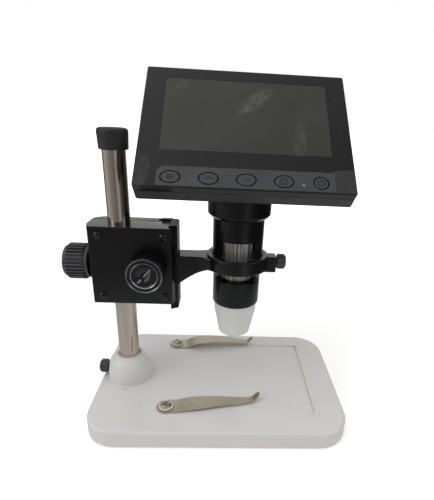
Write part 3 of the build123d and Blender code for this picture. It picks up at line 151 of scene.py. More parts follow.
studio_floor = bpy.data.materials.new("studio_floor")
studio_floor.use_nodes = True
tree = studio_floor.node_tree
tree.nodes.clear()
paper = add_node(tree, "ShaderNodeBsdfDiffuse", {"Color": linear(floor_colour)})
spot = add_node(tree, "ShaderNodeTexCoord").outputs["Object"]
away = add_node(tree, "ShaderNodeVectorMath", {0: spot}, operation="LENGTH").outputs["Value"]
glow_here = between(tree, away, *floor_glow, *floor_glow_reach)
glow_level = add_node(tree, "ShaderNodeMath", {0: seen_directly(tree), 1: glow_here}, operation="MULTIPLY")
glow = add_node(tree, "ShaderNodeEmission", {"Strength": glow_level.outputs[0]})
both = add_node(tree, "ShaderNodeAddShader", {0: paper.outputs[0], 1: glow.outputs[0]})
mirrored = add_node(tree, "ShaderNodeLightPath").outputs["Is Glossy Ray"]
beyond = add_node(tree, "ShaderNodeBsdfTransparent")
shine = add_node(tree, "ShaderNodeEmission", {"Color": linear(floor_shine)})
fading = between(tree, away, 0.0, 1.0, *floor_shine_reach)
gloss_sees = add_node(tree, "ShaderNodeMixShader", {0: fading, 1: shine.outputs[0], 2: beyond.outputs[0]})
paper_or_room = add_node(
    tree, "ShaderNodeMixShader", {0: mirrored, 1: both.outputs[0], 2: gloss_sees.outputs[0]}
)
add_node(tree, "ShaderNodeOutputMaterial", {"Surface": paper_or_room.outputs[0]})
floor_mesh = bpy.data.meshes.new("floor")
floor_mesh.from_pydata(
    [(x * floor_half, y * floor_half, -floor_drop) for x, y in ((-1, -1), (1, -1), (1, 1), (-1, 1))],
    [],
    [(0, 1, 2, 3)],
)
floor_mesh.materials.append(studio_floor)
floor = bpy.data.objects.new("floor", floor_mesh)
bpy.context.scene.collection.objects.link(floor)

world = bpy.data.worlds.new("studio")
world.use_nodes = True
bpy.context.scene.world = world
tree = world.node_tree
tree.nodes.clear()
direction = add_node(tree, "ShaderNodeTexCoord").outputs["Generated"]
way = add_node(tree, "ShaderNodeSeparateXYZ", {0: direction}).outputs
front_to_back = between(tree, way["Y"], 0.0, 1.0, room_front, room_back)
surround = mixed(tree, front_to_back, linear(room_colour), linear(sweep_colour))
forward = add_node(tree, "ShaderNodeMath", {0: way["Y"], 1: -1.0}, operation="MULTIPLY")
bearing = add_node(tree, "ShaderNodeMath", {0: way["X"], 1: forward.outputs[0]}, operation="ARCTAN2")
round_room = between(tree, bearing.outputs[0], 0.0, 1.0, -pi, pi)
bands = add_node(tree, "ShaderNodeValToRGB", {0: round_room})
bands.color_ramp.interpolation = "EASE"
for number, (degrees, colour) in enumerate(room_bands):
    stops = bands.color_ramp.elements
    stop = stops[number] if number < 2 else stops.new(1.0)
    stop.position = degrees / 360 + 0.5
    stop.color = linear(colour)
overhead = between(tree, way["Z"], 0.0, 1.0, ceiling_start, ceiling_end)
across = between(tree, way["X"], 0.0, 1.0, *ceiling_spread)
ceiling = mixed(tree, across, linear(ceiling_left), linear(ceiling_right))
reflected = mixed(tree, overhead, bands.outputs[0], ceiling)
path = add_node(tree, "ShaderNodeLightPath").outputs
lit = mixed(tree, path["Is Glossy Ray"], surround, reflected)
shown = mixed(tree, path["Is Camera Ray"], lit, linear(sweep_colour))
strength = between(tree, seen_directly(tree), room_light, 1.0, 0.0, 1.0)
backdrop = add_node(tree, "ShaderNodeBackground", {"Color": shown, "Strength": strength})
add_node(tree, "ShaderNodeOutputWorld", {"Surface": backdrop.outputs[0]})

lamp_aim = Vector((0, 0, 0.1))
for lamp_name, place, size, power in (
    ("lamp_above", (-0.25, -0.25, 1.05), 0.9, 3.4),
    ("lamp_left", (-0.9, -0.55, 0.5), 0.6, 2.2),
    ("lamp_right", (0.9, -0.5, 0.6), 0.6, 1.6),
):
    lamp_light = bpy.data.lights.new(lamp_name, "AREA")
    lamp_light.shape = "DISK"
    lamp_light.size = size
    lamp_light.energy = power
    lamp = bpy.data.objects.new(lamp_name, lamp_light)
    lamp.visible_glossy = lamp_name != "lamp_above"
    lamp.location = place
    lamp.rotation_mode = "QUATERNION"
    lamp.rotation_quaternion = (lamp_aim - Vector(place)).to_track_quat("-Z", "Y")
    bpy.context.scene.collection.objects.link(lamp)

# Feet, bottom plate and ballast
# Four rubber discs let into a pressed steel plate, which closes the tray from below and holds an iron slab
# down. The plate is painted black, and four cross-headed screws hold it.
plate_screw_places = ((-45.0, -48.5), (45.0, -48.5), (-45.0, 48.5), (45.0, 48.5))
plate_screw_bottom = 0.9
plate_screw_radius, plate_screw_height = 2.5, 1.0
plate_screw_recess, plate_screw_arm = 0.7, 1.5


def open_finish(name, colour, roughness, **shader_inputs):
    """Starts a new material and gives its tree, its shader and the object's own coordinates."""
    material = bpy.data.materials.new(name)
    material.use_nodes = True
    tree = material.node_tree
    tree.nodes.clear()
    inputs = {"Base Color": linear(colour), "Roughness": roughness}
    inputs.update({key.replace("_", " "): value for key, value in shader_inputs.items()})
    shader = add_node(tree, "ShaderNodeBsdfPrincipled", inputs)
    add_node(tree, "ShaderNodeOutputMaterial", {"Surface": shader.outputs[0]})
    place = add_node(tree, "ShaderNodeTexCoord").outputs["Object"]
    return material, tree, shader, place


def cloud(tree, place, size, detail=2.0, rough=0.5):
    """A cloudy pattern whose patches are about so many millimetres across."""
    noise = add_node(
        tree,
        "ShaderNodeTexNoise",
        {"Vector": place, "Scale": 1000 / size, "Detail": detail, "Roughness": rough},
    )
    return noise.outputs["Fac"]


def shades(tree, value, dark, light, start=0.35, end=0.65):
    """A colour that runs from dark to light as the pattern does."""
    ramp = add_node(tree, "ShaderNodeValToRGB", {0: value})
    ramp.color_ramp.elements[0].position = start
    ramp.color_ramp.elements[0].color = linear(dark)
    ramp.color_ramp.elements[1].position = end
    ramp.color_ramp.elements[1].color = linear(light)
    return ramp.outputs[0]


def wear(tree, shader, colour=None, roughness=None):
    """Leads a pattern's colour and its gloss into the shader."""
    for socket, value in (("Base Color", colour), ("Roughness", roughness)):
        if value is not None:
            tree.links.new(value, shader.inputs[socket])


def relief(tree, shader, value, height):
    """Presses a pattern into the surface, so many millimetres deep."""
    bump = add_node(tree, "ShaderNodeBump", {"Height": value, "Distance": height / 1000, "Strength": 1.0})
    tree.links.new(bump.outputs[0], shader.inputs["Normal"])


def moulded(name, dark, light, roughness, grain, depth, patch=14.0, **shader_inputs):
    """A moulded plastic: two close shades in soft patches, a fine spark-eroded grain and uneven gloss."""
    material, tree, shader, place = open_finish(name, dark, roughness[0], **shader_inputs)
    colour = shades(tree, cloud(tree, place, patch, 3.0), dark, light)
    wear(tree, shader, colour, between(tree, cloud(tree, place, patch / 3, 4.0), *roughness))
    relief(tree, shader, cloud(tree, place, grain, 1.0), depth)
    return material


def dress(material, *nodes):
    """Gives a finish to pieces that keep the frame's own shape."""
    for node in nodes:
        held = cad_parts[node].data.materials
        held.clear()
        held.append(material)


# Dull rubber, a black enamel with a soft shine, and raw iron with a coarse skin
foot_rubber = moulded("foot_rubber", "#1A1A1B", "#232324", (0.75, 0.9), grain=0.6, depth=0.03)
plate_paint = moulded("plate_paint", "#1C1C1E", "#242426", (0.45, 0.6), grain=0.9, depth=0.02)
cast_iron = moulded("cast_iron", "#2C2A28", "#3D3A36", (0.6, 0.85), grain=1.6, depth=0.12, Metallic=0.8)
dress(foot_rubber, "rubber_feet")
dress(plate_paint, "base_plate")
dress(cast_iron, "ballast")


def upright(x, y, z=0.0):
    """The place of a piece that stands upright, from its own millimetres to the frame's metres."""
    return Matrix.Scale(0.001, 4) @ Matrix.Translation((x, y, z))


def settle(name, mesh, material, sharp=32.0):
    """Makes a piece of a mesh: faces out, smooth between its sharp edges, and flat where it is flat."""
    bmesh.ops.remove_doubles(mesh, verts=mesh.verts, dist=0.000002)
    bmesh.ops.recalc_face_normals(mesh, faces=mesh.faces)
    data = bpy.data.meshes.new(name)
    mesh.to_mesh(data)
    mesh.free()
    data.materials.append(material)
    piece = bpy.data.objects.new(name, data)
    bpy.context.scene.collection.objects.link(piece)
    return even(piece, sharp)


def freeze(piece):
    """Turns what a piece's modifiers show into its plain mesh."""
    bpy.context.view_layer.update()
    graph = bpy.context.evaluated_depsgraph_get()
    data = bpy.data.meshes.new_from_object(
        piece.evaluated_get(graph), preserve_all_data_layers=True, depsgraph=graph
    )
    data.name = piece.name
    piece.modifiers.clear()
    piece.data = data
    return piece


def even(piece, sharp=32.0):
    """Shades a piece smooth between sharp edges, and keeps its large flat faces flat."""
    piece.data.shade_smooth()
    piece.data.set_sharp_from_angle(angle=radians(sharp))
    modifier = piece.modifiers.new("flat faces", "WEIGHTED_NORMAL")
    modifier.keep_sharp = True
    modifier.weight = 100
    return freeze(piece)


def lathe(name, outline, place, material, steps=96):
    """Turns a closed outline of (radius, height) points about its own upright axis."""
    mesh = bmesh.new()
    rings = []
    for radius, height in outline:
        count = 1 if radius < 0.0001 else steps
        angles = [2 * pi * k / steps for k in range(count)]
        rings.append(
            [mesh.verts.new(place @ Vector((radius * cos(a), radius * sin(a), height))) for a in angles]
        )
    for one, other in zip(rings, rings[1:] + rings[:1]):
        for k in range(steps):
            spots = ((one, k), (one, k + 1), (other, k + 1), (other, k))
            corners = list(dict.fromkeys(ring[spot % len(ring)] for ring, spot in spots))
            if len(corners) > 2:
                mesh.faces.new(corners)
    return settle(name, mesh, material)


def oblong(left, right, low, high):
    """An anticlockwise oblong, which turned about the axis gives a ring or a disc."""
    return [(left, low), (right, low), (right, high), (left, high)]


nearly_straight = radians(177)
corner_share = 0.48


def soften(points, radius, steps=4):
    """Rounds the corners of a closed outline. One radius serves all corners, or each has its own."""
    soft = []
    for i, point in enumerate(points):
        corner = Vector(point)
        reach = radius[i] if isinstance(radius, (list, tuple)) else radius
        before = Vector(points[i - 1]) - corner
        after = Vector(points[(i + 1) % len(points)]) - corner
        opening = before.angle(after, pi)
        if reach <= 0 or opening > nearly_straight:
            soft.append(corner)
            continue
        longest = corner_share * min(before.length, after.length)
        cut = min(reach / tan(opening / 2), longest)
        round_radius = cut * tan(opening / 2)
        middle = corner + (before.normalized() + after.normalized()).normalized() * (
            round_radius / sin(opening / 2)
        )
        start = corner + before.normalized() * cut - middle
        end = corner + after.normalized() * cut - middle
        sweep = pi - opening
        for step in range(steps + 1):
            share = step / steps
            soft.append(middle + (start * sin((1 - share) * sweep) + end * sin(share * sweep)) / sin(sweep))
    return soft


def open_pattern(name, **inputs):
    """Starts a tree of geometry nodes, and gives it and what its named inputs hold."""
    tree = bpy.data.node_groups.new(name, "GeometryNodeTree")
    for socket, kind in inputs.items():
        tree.interface.new_socket(socket, in_out="INPUT", socket_type="NodeSocket" + kind)
    tree.interface.new_socket("Pieces", in_out="OUTPUT", socket_type="NodeSocketGeometry")
    return tree, add_node(tree, "NodeGroupInput").outputs


def close_pattern(tree, copies, finish):
    """Ends a tree of geometry nodes: the copies become one mesh in one finish."""
    solid = add_node(tree, "GeometryNodeRealizeInstances", {0: copies.outputs[0]})
    painted = add_node(tree, "GeometryNodeSetMaterial", {0: solid.outputs[0], "Material": finish})
    add_node(tree, "NodeGroupOutput", {0: painted.outputs[0]})
    return tree


def ring_tree():
    """Geometry nodes that set a shape round an upright axis, so many times, in one finish."""
    tree, given = open_pattern("set round an axis", Shape="Geometry", Count="Int", Finish="Material")
    spots = add_node(
        tree, "GeometryNodeMeshLine", {"Count": given["Count"], "Offset": (0.0, 0.0, 0.0)}, mode="OFFSET"
    )
    step = add_node(tree, "ShaderNodeMath", {0: 2 * pi, 1: given["Count"]}, operation="DIVIDE")
    number = add_node(tree, "GeometryNodeInputIndex")
    turn = add_node(tree, "ShaderNodeMath", {0: number.outputs[0], 1: step.outputs[0]}, operation="MULTIPLY")
    about = add_node(tree, "ShaderNodeCombineXYZ", {"Z": turn.outputs[0]})
    copies = add_node(
        tree,
        "GeometryNodeInstanceOnPoints",
        {"Points": spots.outputs[0], "Instance": given["Shape"], "Rotation": about.outputs[0]},
    )
    return close_pattern(tree, copies, given["Finish"])


def spot_tree():
    """Geometry nodes that set one shape on each point of a mesh, turned by the point's own angle."""
    tree, given = open_pattern(
        "set on points", Points="Geometry", Shape="Object", Finish="Material", Seed="Int"
    )
    shape = add_node(tree, "GeometryNodeObjectInfo", {"Object": given["Shape"]})
    turn = add_node(tree, "FunctionNodeRandomValue", {"Seed": given["Seed"]}, data_type="FLOAT")
    for socket in turn.inputs:
        if socket.name == "Max" and socket.type == "VALUE":
            socket.default_value = 2 * pi
    value = [socket for socket in turn.outputs if socket.type == "VALUE"][0]
    about = add_node(tree, "ShaderNodeCombineXYZ", {"Z": value})
    copies = add_node(
        tree,
        "GeometryNodeInstanceOnPoints",
        {"Points": given["Points"], "Instance": shape.outputs["Geometry"], "Rotation": about.outputs[0]},
    )
    return close_pattern(tree, copies, given["Finish"])


set_round_axis = ring_tree()
set_on_points = spot_tree()


def run_tree(name, tree, data, place, **values):
    """Runs geometry nodes on a start mesh, keeps the result as one plain mesh and puts it in its place."""
    piece = bpy.data.objects.new(name, data)
    bpy.context.scene.collection.objects.link(piece)
    modifier = piece.modifiers.new(tree.name, "NODES")
    modifier.node_group = tree
    sockets = {
        item.name: item.identifier
        for item in tree.interface.items_tree
        if item.item_type == "SOCKET" and item.in_out == "INPUT"
    }
    for key, value in values.items():
        modifier[sockets[key]] = value
    freeze(piece)
    piece.data.transform(place)
    return even(piece)


def block_tool(size, middle, place, material):
    """A block to cut with, so long, deep and high about its middle."""
    tool = bmesh.new()
    bmesh.ops.create_cube(
        tool, size=1.0, matrix=place @ Matrix.Translation(middle) @ Matrix.Diagonal((*size, 1.0))
    )
    return settle("block_tool", tool, material)


def cross_screw(name, radius, height, recess, arm, place, material):
    """One pan-head screw with a cross recess, standing on its own origin."""
    shoulder, crown = (radius, height * 0.45), (radius * 0.72, height * 0.88)
    outline = [(0.0, 0.0), (radius, 0.0), shoulder, crown, (0.0, height)]
    head = lathe(name, soften(outline, [0, 0, height * 0.3, height * 0.4, 0], 3), place, material, 32)
    slot = (2 * arm, arm * 0.42, 2 * recess)
    cutters = [
        block_tool(slot, (0, 0, height), place @ Matrix.Rotation(turn, 4, "Z"), material)
        for turn in (0.0, pi / 2)
    ]
    return cut_away(head, *cutters)


def cut_away(piece, *tools):
    """Cuts the tools' shapes out of a piece, and puts the tools away."""
    for tool in tools:
        modifier = piece.modifiers.new("cut", "BOOLEAN")
        modifier.operation = "DIFFERENCE"
        modifier.solver = "EXACT"
        modifier.object = tool
        freeze(piece)
        bpy.data.objects.remove(tool)
    return even(piece)


def screws(name, shape, points, place, material, seed):
    """Sets one screw's shape on each point, and puts the pattern away."""
    data = bpy.data.meshes.new(name)
    data.from_pydata([Vector(p) for p in points], [], [])
    piece = run_tree(name, set_on_points, data, place, Shape=shape, Finish=material, Seed=seed)
    bpy.data.objects.remove(shape)
    return piece


def zinc_finish(name, dark, light, low, high):
    """Plated steel with faint clouding and fine machining marks."""
    material, tree, shader, place = open_finish(name, dark, low, Metallic=1.0)
    colour = shades(tree, cloud(tree, place, 2.0, 3.0), dark, light)
    wear(tree, shader, colour, between(tree, cloud(tree, place, 0.8, 3.0), low, high))
    relief(tree, shader, cloud(tree, place, 0.35, 2.0), 0.01)
    return material


# Zinc plate: bright, grey and a little cloudy
screw_zinc = zinc_finish("screw_zinc", "#8E8A82", "#B4B0A8", 0.25, 0.42)
one_screw = cross_screw(
    "plate_screw",
    plate_screw_radius,
    plate_screw_height,
    plate_screw_recess,
    plate_screw_arm,
    Matrix.Identity(4),
    screw_zinc,
)
plate_screws = screws(
    "plate_screws",
    one_screw,
    [(x, y, 0) for x, y in plate_screw_places],
    upright(0, 0, plate_screw_bottom + plate_screw_height) @ Matrix.Diagonal((1, 1, -1, 1)),
    screw_zinc,
    3,
)
plate_screws.data.flip_normals()
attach(plate_screws, "base")
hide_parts("base_screws")

# Base cover
# The stage: one moulding in off-white ABS, open below, with a rounded upper edge and a thick boss for the
# column. Its surface is finely grained, slightly glossy and a little soiled by use.
base_length, base_depth, base_corner = 168.0, 113.0, 20.0
base_foot, base_top = 0.8, 12.7
base_wall, base_skin = 2.5, 2.4
base_round, base_edge = 2.0, 0.35
column_x, line_y = -64.6, 1.0
boss_height, boss_radius, boss_top_radius = 31.2, 15.5, 8.4
boss_foot, boss_inner = 4.0, 10.5
column_bore = 6.95
ferrule_seat, ferrule_depth = 8.0, 1.4
dimple_y, dimple_radius, dimple_depth = -16.9, 1.3, 1.7


def rounded_box(length, depth, radius, steps=10, centre=(0.0, 0.0)):
    """An anticlockwise rectangle with round corners."""
    points = []
    for quarter, (side_x, side_y) in enumerate(((1, 1), (-1, 1), (-1, -1), (1, -1))):
        middle = Vector(centre) + Vector((side_x * (length / 2 - radius), side_y * (depth / 2 - radius)))
        for step in range(steps + 1):
            angle = (quarter + step / steps) * pi / 2
            points.append(middle + Vector((radius * cos(angle), radius * sin(angle))))
    return points


def shrink(points, inset):
    """Moves each side of an anticlockwise outline inwards."""
    moved = []
    for i, point in enumerate(points):
        before = (point - points[i - 1]).normalized()
        after = (points[(i + 1) % len(points)] - point).normalized()
        along = before + after
        if along.length < 1e-6:
            along = after
        along = along.normalized()
        inward = Vector((-along.y, along.x))
        stretch = max(0.5, before.dot(along))
        moved.append(point + inward * inset / stretch)
    return moved


def stack(name, outline, layers, place, material, holes=()):
    """Builds a closed piece from an outline's layers of (inset, height). Holes run between its flat ends."""
    mesh = bmesh.new()
    outline = [Vector(p) for p in outline]
    ends = [[], []]

    def walls(loops):
        rings = [
            [mesh.verts.new(place @ Vector((p.x, p.y, height))) for p in loop] for loop, height in loops
        ]
        for one, other in zip(rings, rings[1:]):
            for k in range(len(one)):
                mesh.faces.new((one[k - 1], one[k], other[k], other[k - 1]))
        for end, ring in zip(ends, (rings[0], rings[-1])):
            end.append(ring)

    walls([(shrink(outline, inset), height) for inset, height in layers])
    for hole in holes:
        hole = [Vector(p) for p in hole]
        walls([(hole, layers[0][1]), (hole, layers[-1][1])])
    for end in ends:
        edges = []
        for ring in end:
            edges += [mesh.edges.get((ring[k - 1], ring[k])) for k in range(len(ring))]
        if len(end) == 1:
            mesh.faces.new(end[0])
        else:
            bmesh.ops.triangle_fill(mesh, use_beauty=True, use_dissolve=False, edges=edges)
    return settle(name, mesh, material)


def rounded_end(radius, height, steps=4, turn=1):
    """The layers that round an end over: from the side at its full width to the flat end."""
    angles = [pi / 2 * k / steps for k in range(steps + 1)]
    return [(radius * (1 - cos(a)), height - turn * radius * (1 - sin(a))) for a in angles]


def join(name, *pieces):
    """Joins pieces that are one in the real object."""
    with bpy.context.temp_override(
        active_object=pieces[0], object=pieces[0], selected_objects=pieces, selected_editable_objects=pieces
    ):
        bpy.ops.object.join()
    pieces[0].name = pieces[0].data.name = name
    return pieces[0]


# Smooth ABS in off-white, whose broad shine dulls a little where it is soiled
stage_plastic, tree, shader, place = open_finish("stage_plastic", "#D8D7D5", 0.2, Specular_IOR_Level=0.5)
soiling = shades(tree, cloud(tree, place, 90.0, 1.0, 0.5), "#D4D3D1", "#DBDAD9", 0.0, 1.0)
handling = between(tree, cloud(tree, place, 70.0, 1.0, 0.5), 0.13, 0.18, 0.0, 1.0)
wear(tree, shader, soiling, handling)
relief(tree, shader, cloud(tree, place, 0.45, 2.0), 0.002)
tray = stack(
    "base_tray",
    rounded_box(base_length, base_depth, base_corner, 14),
    [
        (base_wall, base_top - base_skin),
        (base_wall, base_foot),
        (base_edge, base_foot),
        (0.0, base_foot + base_edge),
        *rounded_end(base_round, base_top, 6),
    ],
    upright(0, 0),
    stage_plastic,
)
boss_outline = [
    (column_bore, boss_foot),
    (boss_inner, boss_foot),
    (boss_inner, base_top - 1.0),
    (boss_radius + 0.3, base_top - 0.5),
    (boss_radius, base_top + 0.1),
    (boss_radius - 0.55, 20.0),
    (boss_radius - 1.4, 24.4),
    (12.7, 27.6),
    (10.6, 29.8),
    (boss_top_radius, boss_height),
    (ferrule_seat, boss_height),
    (ferrule_seat, boss_height - ferrule_depth),
    (column_bore, boss_height - ferrule_depth),
]
boss = lathe(
    "base_boss",
    soften(boss_outline, [0, 0, 0, 0, 0.1, 20, 9, 6, 6, 0.6, 0.15, 0, 0], 5),
    upright(column_x, line_y),
    stage_plastic,
)
dimple_outline = [
    (0.0, -dimple_depth),
    (0.8, 0.2 - dimple_depth),
    (1.05, -0.25),
    (dimple_radius, 0.1),
    (dimple_radius, 0.4),
    (0.0, 0.4),
]
dimple = lathe(
    "dimple_tool",
    dimple_outline,
    upright(column_x, dimple_y, base_top),
    stage_plastic,
    32,
)
base_cover = join("base_cover_shell", cut_away(tray, dimple), boss)
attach(base_cover, "base")
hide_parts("base_cover")

# Scale on the stage
# An L of grey ink printed on the stage: a line across the back and one down the right side, with a tick
# every 5 mm and plain numbers, in centimetres, down the outer side.
scale_corner = (63.0, 40.5)
scale_side = 80.0
scale_back = 74.0
scale_line = 1.15
scale_pitch = 5.0
tick_short, tick_long, tick_width = 2.6, 4.6, 0.38
number_height, number_gap, number_pitch = 2.0, 3.2, 10.0
ink_thickness = 0.04


def tick_tree():
    """Geometry nodes that lay a row of ticks along X, every other one long."""
    lengths = dict.fromkeys(("Pitch", "Short", "Long", "Width", "Thickness"), "Float")
    tree, given = open_pattern("row of ticks", Start="Geometry", Count="Int", Finish="Material", **lengths)
    pitch = add_node(tree, "ShaderNodeCombineXYZ", {"X": given["Pitch"]})
    row = add_node(
        tree, "GeometryNodeMeshLine", {"Count": given["Count"], "Offset": pitch.outputs[0]}, mode="OFFSET"
    )
    number = add_node(tree, "GeometryNodeInputIndex")
    odd = add_node(tree, "ShaderNodeMath", {0: number.outputs[0], 1: 2.0}, operation="MODULO")
    reach = between(tree, odd.outputs[0], given["Long"], given["Short"], 0.0, 1.0)
    size = add_node(tree, "ShaderNodeCombineXYZ", {"X": given["Width"], "Y": 1.0, "Z": given["Thickness"]})
    bar = add_node(tree, "GeometryNodeMeshCube", {"Size": size.outputs[0]})
    shift = add_node(
        tree, "GeometryNodeTransform", {"Geometry": bar.outputs[0], "Translation": (0.0, 0.5, 0.0)}
    )
    stretch = add_node(tree, "ShaderNodeCombineXYZ", {"X": 1.0, "Y": reach, "Z": 1.0})
    ticks = add_node(
        tree,
        "GeometryNodeInstanceOnPoints",
        {"Points": row.outputs[0], "Instance": shift.outputs[0], "Scale": stretch.outputs[0]},
    )
    return close_pattern(tree, ticks, given["Finish"])


def ink_bar(x0, y0, x1, y1, width):
    """A printed line from one point to another, as the outline of a flat bar."""
    along = (Vector((x1, y1)) - Vector((x0, y0))).normalized() * width / 2
    side = Vector((-along.y, along.x))
    a, b = Vector((x0, y0)), Vector((x1, y1))
    return [a - side, b - side, b + side, a + side]


def lettering(name, text, height, place, material):
    """Plain printed characters, centred on their place."""
    curve = bpy.data.curves.new(name, "FONT")
    curve.body = text
    curve.size = height * 1.4
    curve.extrude = ink_thickness / 2
    curve.align_x = "CENTER"
    curve.align_y = "CENTER"
    curve.resolution_u = 3
    holder = bpy.data.objects.new(name + "_text", curve)
    bpy.context.scene.collection.objects.link(holder)
    bpy.context.view_layer.update()
    graph = bpy.context.evaluated_depsgraph_get()
    data = bpy.data.meshes.new_from_object(holder.evaluated_get(graph), depsgraph=graph)
    bpy.data.objects.remove(holder)
    data.transform(place)
    data.materials.clear()
    data.materials.append(material)
    piece = bpy.data.objects.new(name, data)
    bpy.context.scene.collection.objects.link(piece)
    return piece


# Matt screen-printing ink in pale grey, worn thin in places
scale_ink, tree, shader, place = open_finish("scale_ink", "#BDBCB9", 0.45)
wear(tree, shader, shades(tree, cloud(tree, place, 1.2, 4.0, 0.7), "#B4B3B0", "#C6C5C2", 0.3, 0.75))
tick_rows = tick_tree()
ink_top = base_top + ink_thickness / 2
side_x, back_y = scale_corner
half_line = scale_line / 2
mirrored_turn = Matrix.Rotation(radians(-90), 4, "Z") @ Matrix.Diagonal((1, -1, 1, 1))
scale_pieces = []
for row_name, length, place in (
    ("scale_side_ticks", scale_side, upright(side_x - half_line, back_y, ink_top) @ mirrored_turn),
    (
        "scale_back_ticks",
        scale_back,
        upright(side_x, back_y - half_line, ink_top) @ Matrix.Rotation(radians(180), 4, "Z"),
    ),
):
    scale_pieces.append(
        run_tree(
            row_name,
            tick_rows,
            bpy.data.meshes.new(row_name),
            place,
            Count=int(length / scale_pitch) + 1,
            Pitch=scale_pitch,
            Short=tick_short,
            Long=tick_long,
            Width=tick_width,
            Thickness=ink_thickness,
            Finish=scale_ink,
        )
    )
scale_pieces[0].data.flip_normals()
for line_name, line in (
    ("scale_side_line", (side_x, back_y + half_line, side_x, back_y - scale_side)),
    ("scale_back_line", (side_x, back_y, side_x - scale_back, back_y)),
):
    scale_pieces.append(
        stack(
            line_name,
            ink_bar(*line, scale_line),
            [(0, -ink_thickness / 2), (0, ink_thickness / 2)],
            upright(0, 0, ink_top),
            scale_ink,
        )
    )
for centimetre in range(1, int(scale_side / number_pitch) + 1):
    scale_pieces.append(
        lettering(
            "scale_number_" + str(centimetre),
            str(centimetre),
            number_height,
            upright(side_x + number_gap, back_y - number_pitch * centimetre, ink_top),
            scale_ink,
        )
    )
stage_scale = join("stage_scale", *scale_pieces)
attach(stage_scale, "base")

# Column, ferrule and cap
# A polished steel tube that stands in the boss. A thin grey ferrule trims the boss, and a soft black cap
# closes the tube's top.
column_radius, column_hollow, column_foot, column_top = 6.8, 5.3, 3.1, 176.0
cap_bottom, cap_top, cap_mouth, cap_radius, cap_gap = 169.0, 180.5, 8.4, 8.9, 0.05
ferrule_radius, ferrule_low, ferrule_high, ferrule_gap = 7.7, 29.6, 32.0, 0.1
# The scale that draws a pattern out into streaks along an upright piece
along_axis = (1.0, 1.0, 0.02)

# Polished steel, warm in tone, that mirrors the room in long streaks under a little tarnish
polished_steel, tree, shader, place = open_finish("polished_steel", "#CFBFB2", 0.12, Metallic=1.0)
streak = add_node(tree, "ShaderNodeMapping", {"Vector": place, "Scale": along_axis}).outputs[0]
tarnish = shades(tree, cloud(tree, streak, 1.6, 3.0), "#CABAAC", "#D4C5B9")
wear(tree, shader, tarnish, between(tree, cloud(tree, place, 12.0, 4.0, 0.6), 0.12, 0.19))
relief(tree, shader, cloud(tree, streak, 0.3, 1.0), 0.002)
column_outline = oblong(column_hollow, column_radius, column_foot, column_top)
column = lathe(
    "column_tube", soften(column_outline, 0.4, 3), upright(column_x, line_y), polished_steel, 128
)
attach(column, "column")
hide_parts("column")

# Soft vinyl in charcoal, satin and slightly grained
cap_plastic = moulded("cap_plastic", "#1F1E20", "#2B2A2C", (0.45, 0.62), grain=0.5, depth=0.02, patch=5.0)
cap_outline = [
    (0.0, column_top),
    (column_radius + cap_gap, column_top),
    (column_radius + cap_gap, cap_bottom),
    (cap_mouth, cap_bottom),
    (cap_radius, cap_top),
    (0.0, cap_top + 0.3),
]
column_cap = lathe(
    "cap_moulding", soften(cap_outline, [0, 0, 0.2, 0.5, 2.0, 0], 6), upright(column_x, line_y), cap_plastic
)
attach(column_cap, "column")
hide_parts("column_cap")

# Grey plastic with a low, even sheen
ferrule_plastic = moulded("ferrule_plastic", "#B3B2AE", "#BCBBB7", (0.3, 0.42), grain=0.5, depth=0.005)
ferrule_outline = oblong(column_radius + ferrule_gap, ferrule_radius, ferrule_low, ferrule_high)
ferrule = lathe(
    "ferrule_ring", soften(ferrule_outline, [0, 0, 0.4, 0.2], 4), upright(column_x, line_y), ferrule_plastic
)
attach(ferrule, "base")
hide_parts("column_ferrule")

# Clamp screw at the column's foot
# A small ribbed plastic head moulded on a steel screw, which passes the boss and bears on the column.
foot_screw_z = 19.1
foot_inner, foot_radius, foot_length = -80.0, 4.8, 5.9
foot_stem_reach, stem_radius = 8.8, 2.0


def rib(width, inner, outer, low, high, ease):
    """One straight rib of a grip, with a rounded back and sloping ends, standing out along X."""
    half = width / 2
    mesh = bmesh.new()
    rows = []
    for height, reach in (
        (low, outer - ease),
        (low + ease, outer),
        (high - ease, outer),
        (high, outer - ease),
    ):
        shoulder = reach - half * 0.6
        side = [(inner, half), (shoulder, half), (reach, half * 0.45)]
        section = [(x, -y) for x, y in side] + side[::-1]
        rows.append([mesh.verts.new((x, y, height)) for x, y in section])
    for one, other in zip(rows, rows[1:]):
        for k in range(6):
            mesh.faces.new((one[k - 1], one[k], other[k], other[k - 1]))
    mesh.faces.new(rows[0])
    mesh.faces.new(rows[-1])
    bmesh.ops.recalc_face_normals(mesh, faces=mesh.faces)
    data = bpy.data.meshes.new("rib")
    mesh.to_mesh(data)
    mesh.free()
    return data


def grip(name, core, rib_data, ribs, place, material, steps=96):
    """A turned core with ribs set round it."""
    body = lathe(name + "_core", core, place, material, steps)
    edge = run_tree(name + "_ribs", set_round_axis, rib_data, place, Count=ribs, Finish=material)
    return join(name, body, edge)


def thumb_screw(name, core, rib_data, ribs, reach, place, steps=96):
    """A small ribbed plastic head moulded on a plain steel screw."""
    head = grip(name + "_head", core, rib_data, ribs, place, knob_plastic, steps)
    stem = lathe(name + "_stem", oblong(0.0, stem_radius, -reach, 0.5), place, screw_zinc, 32)
    return join(name, head, stem)


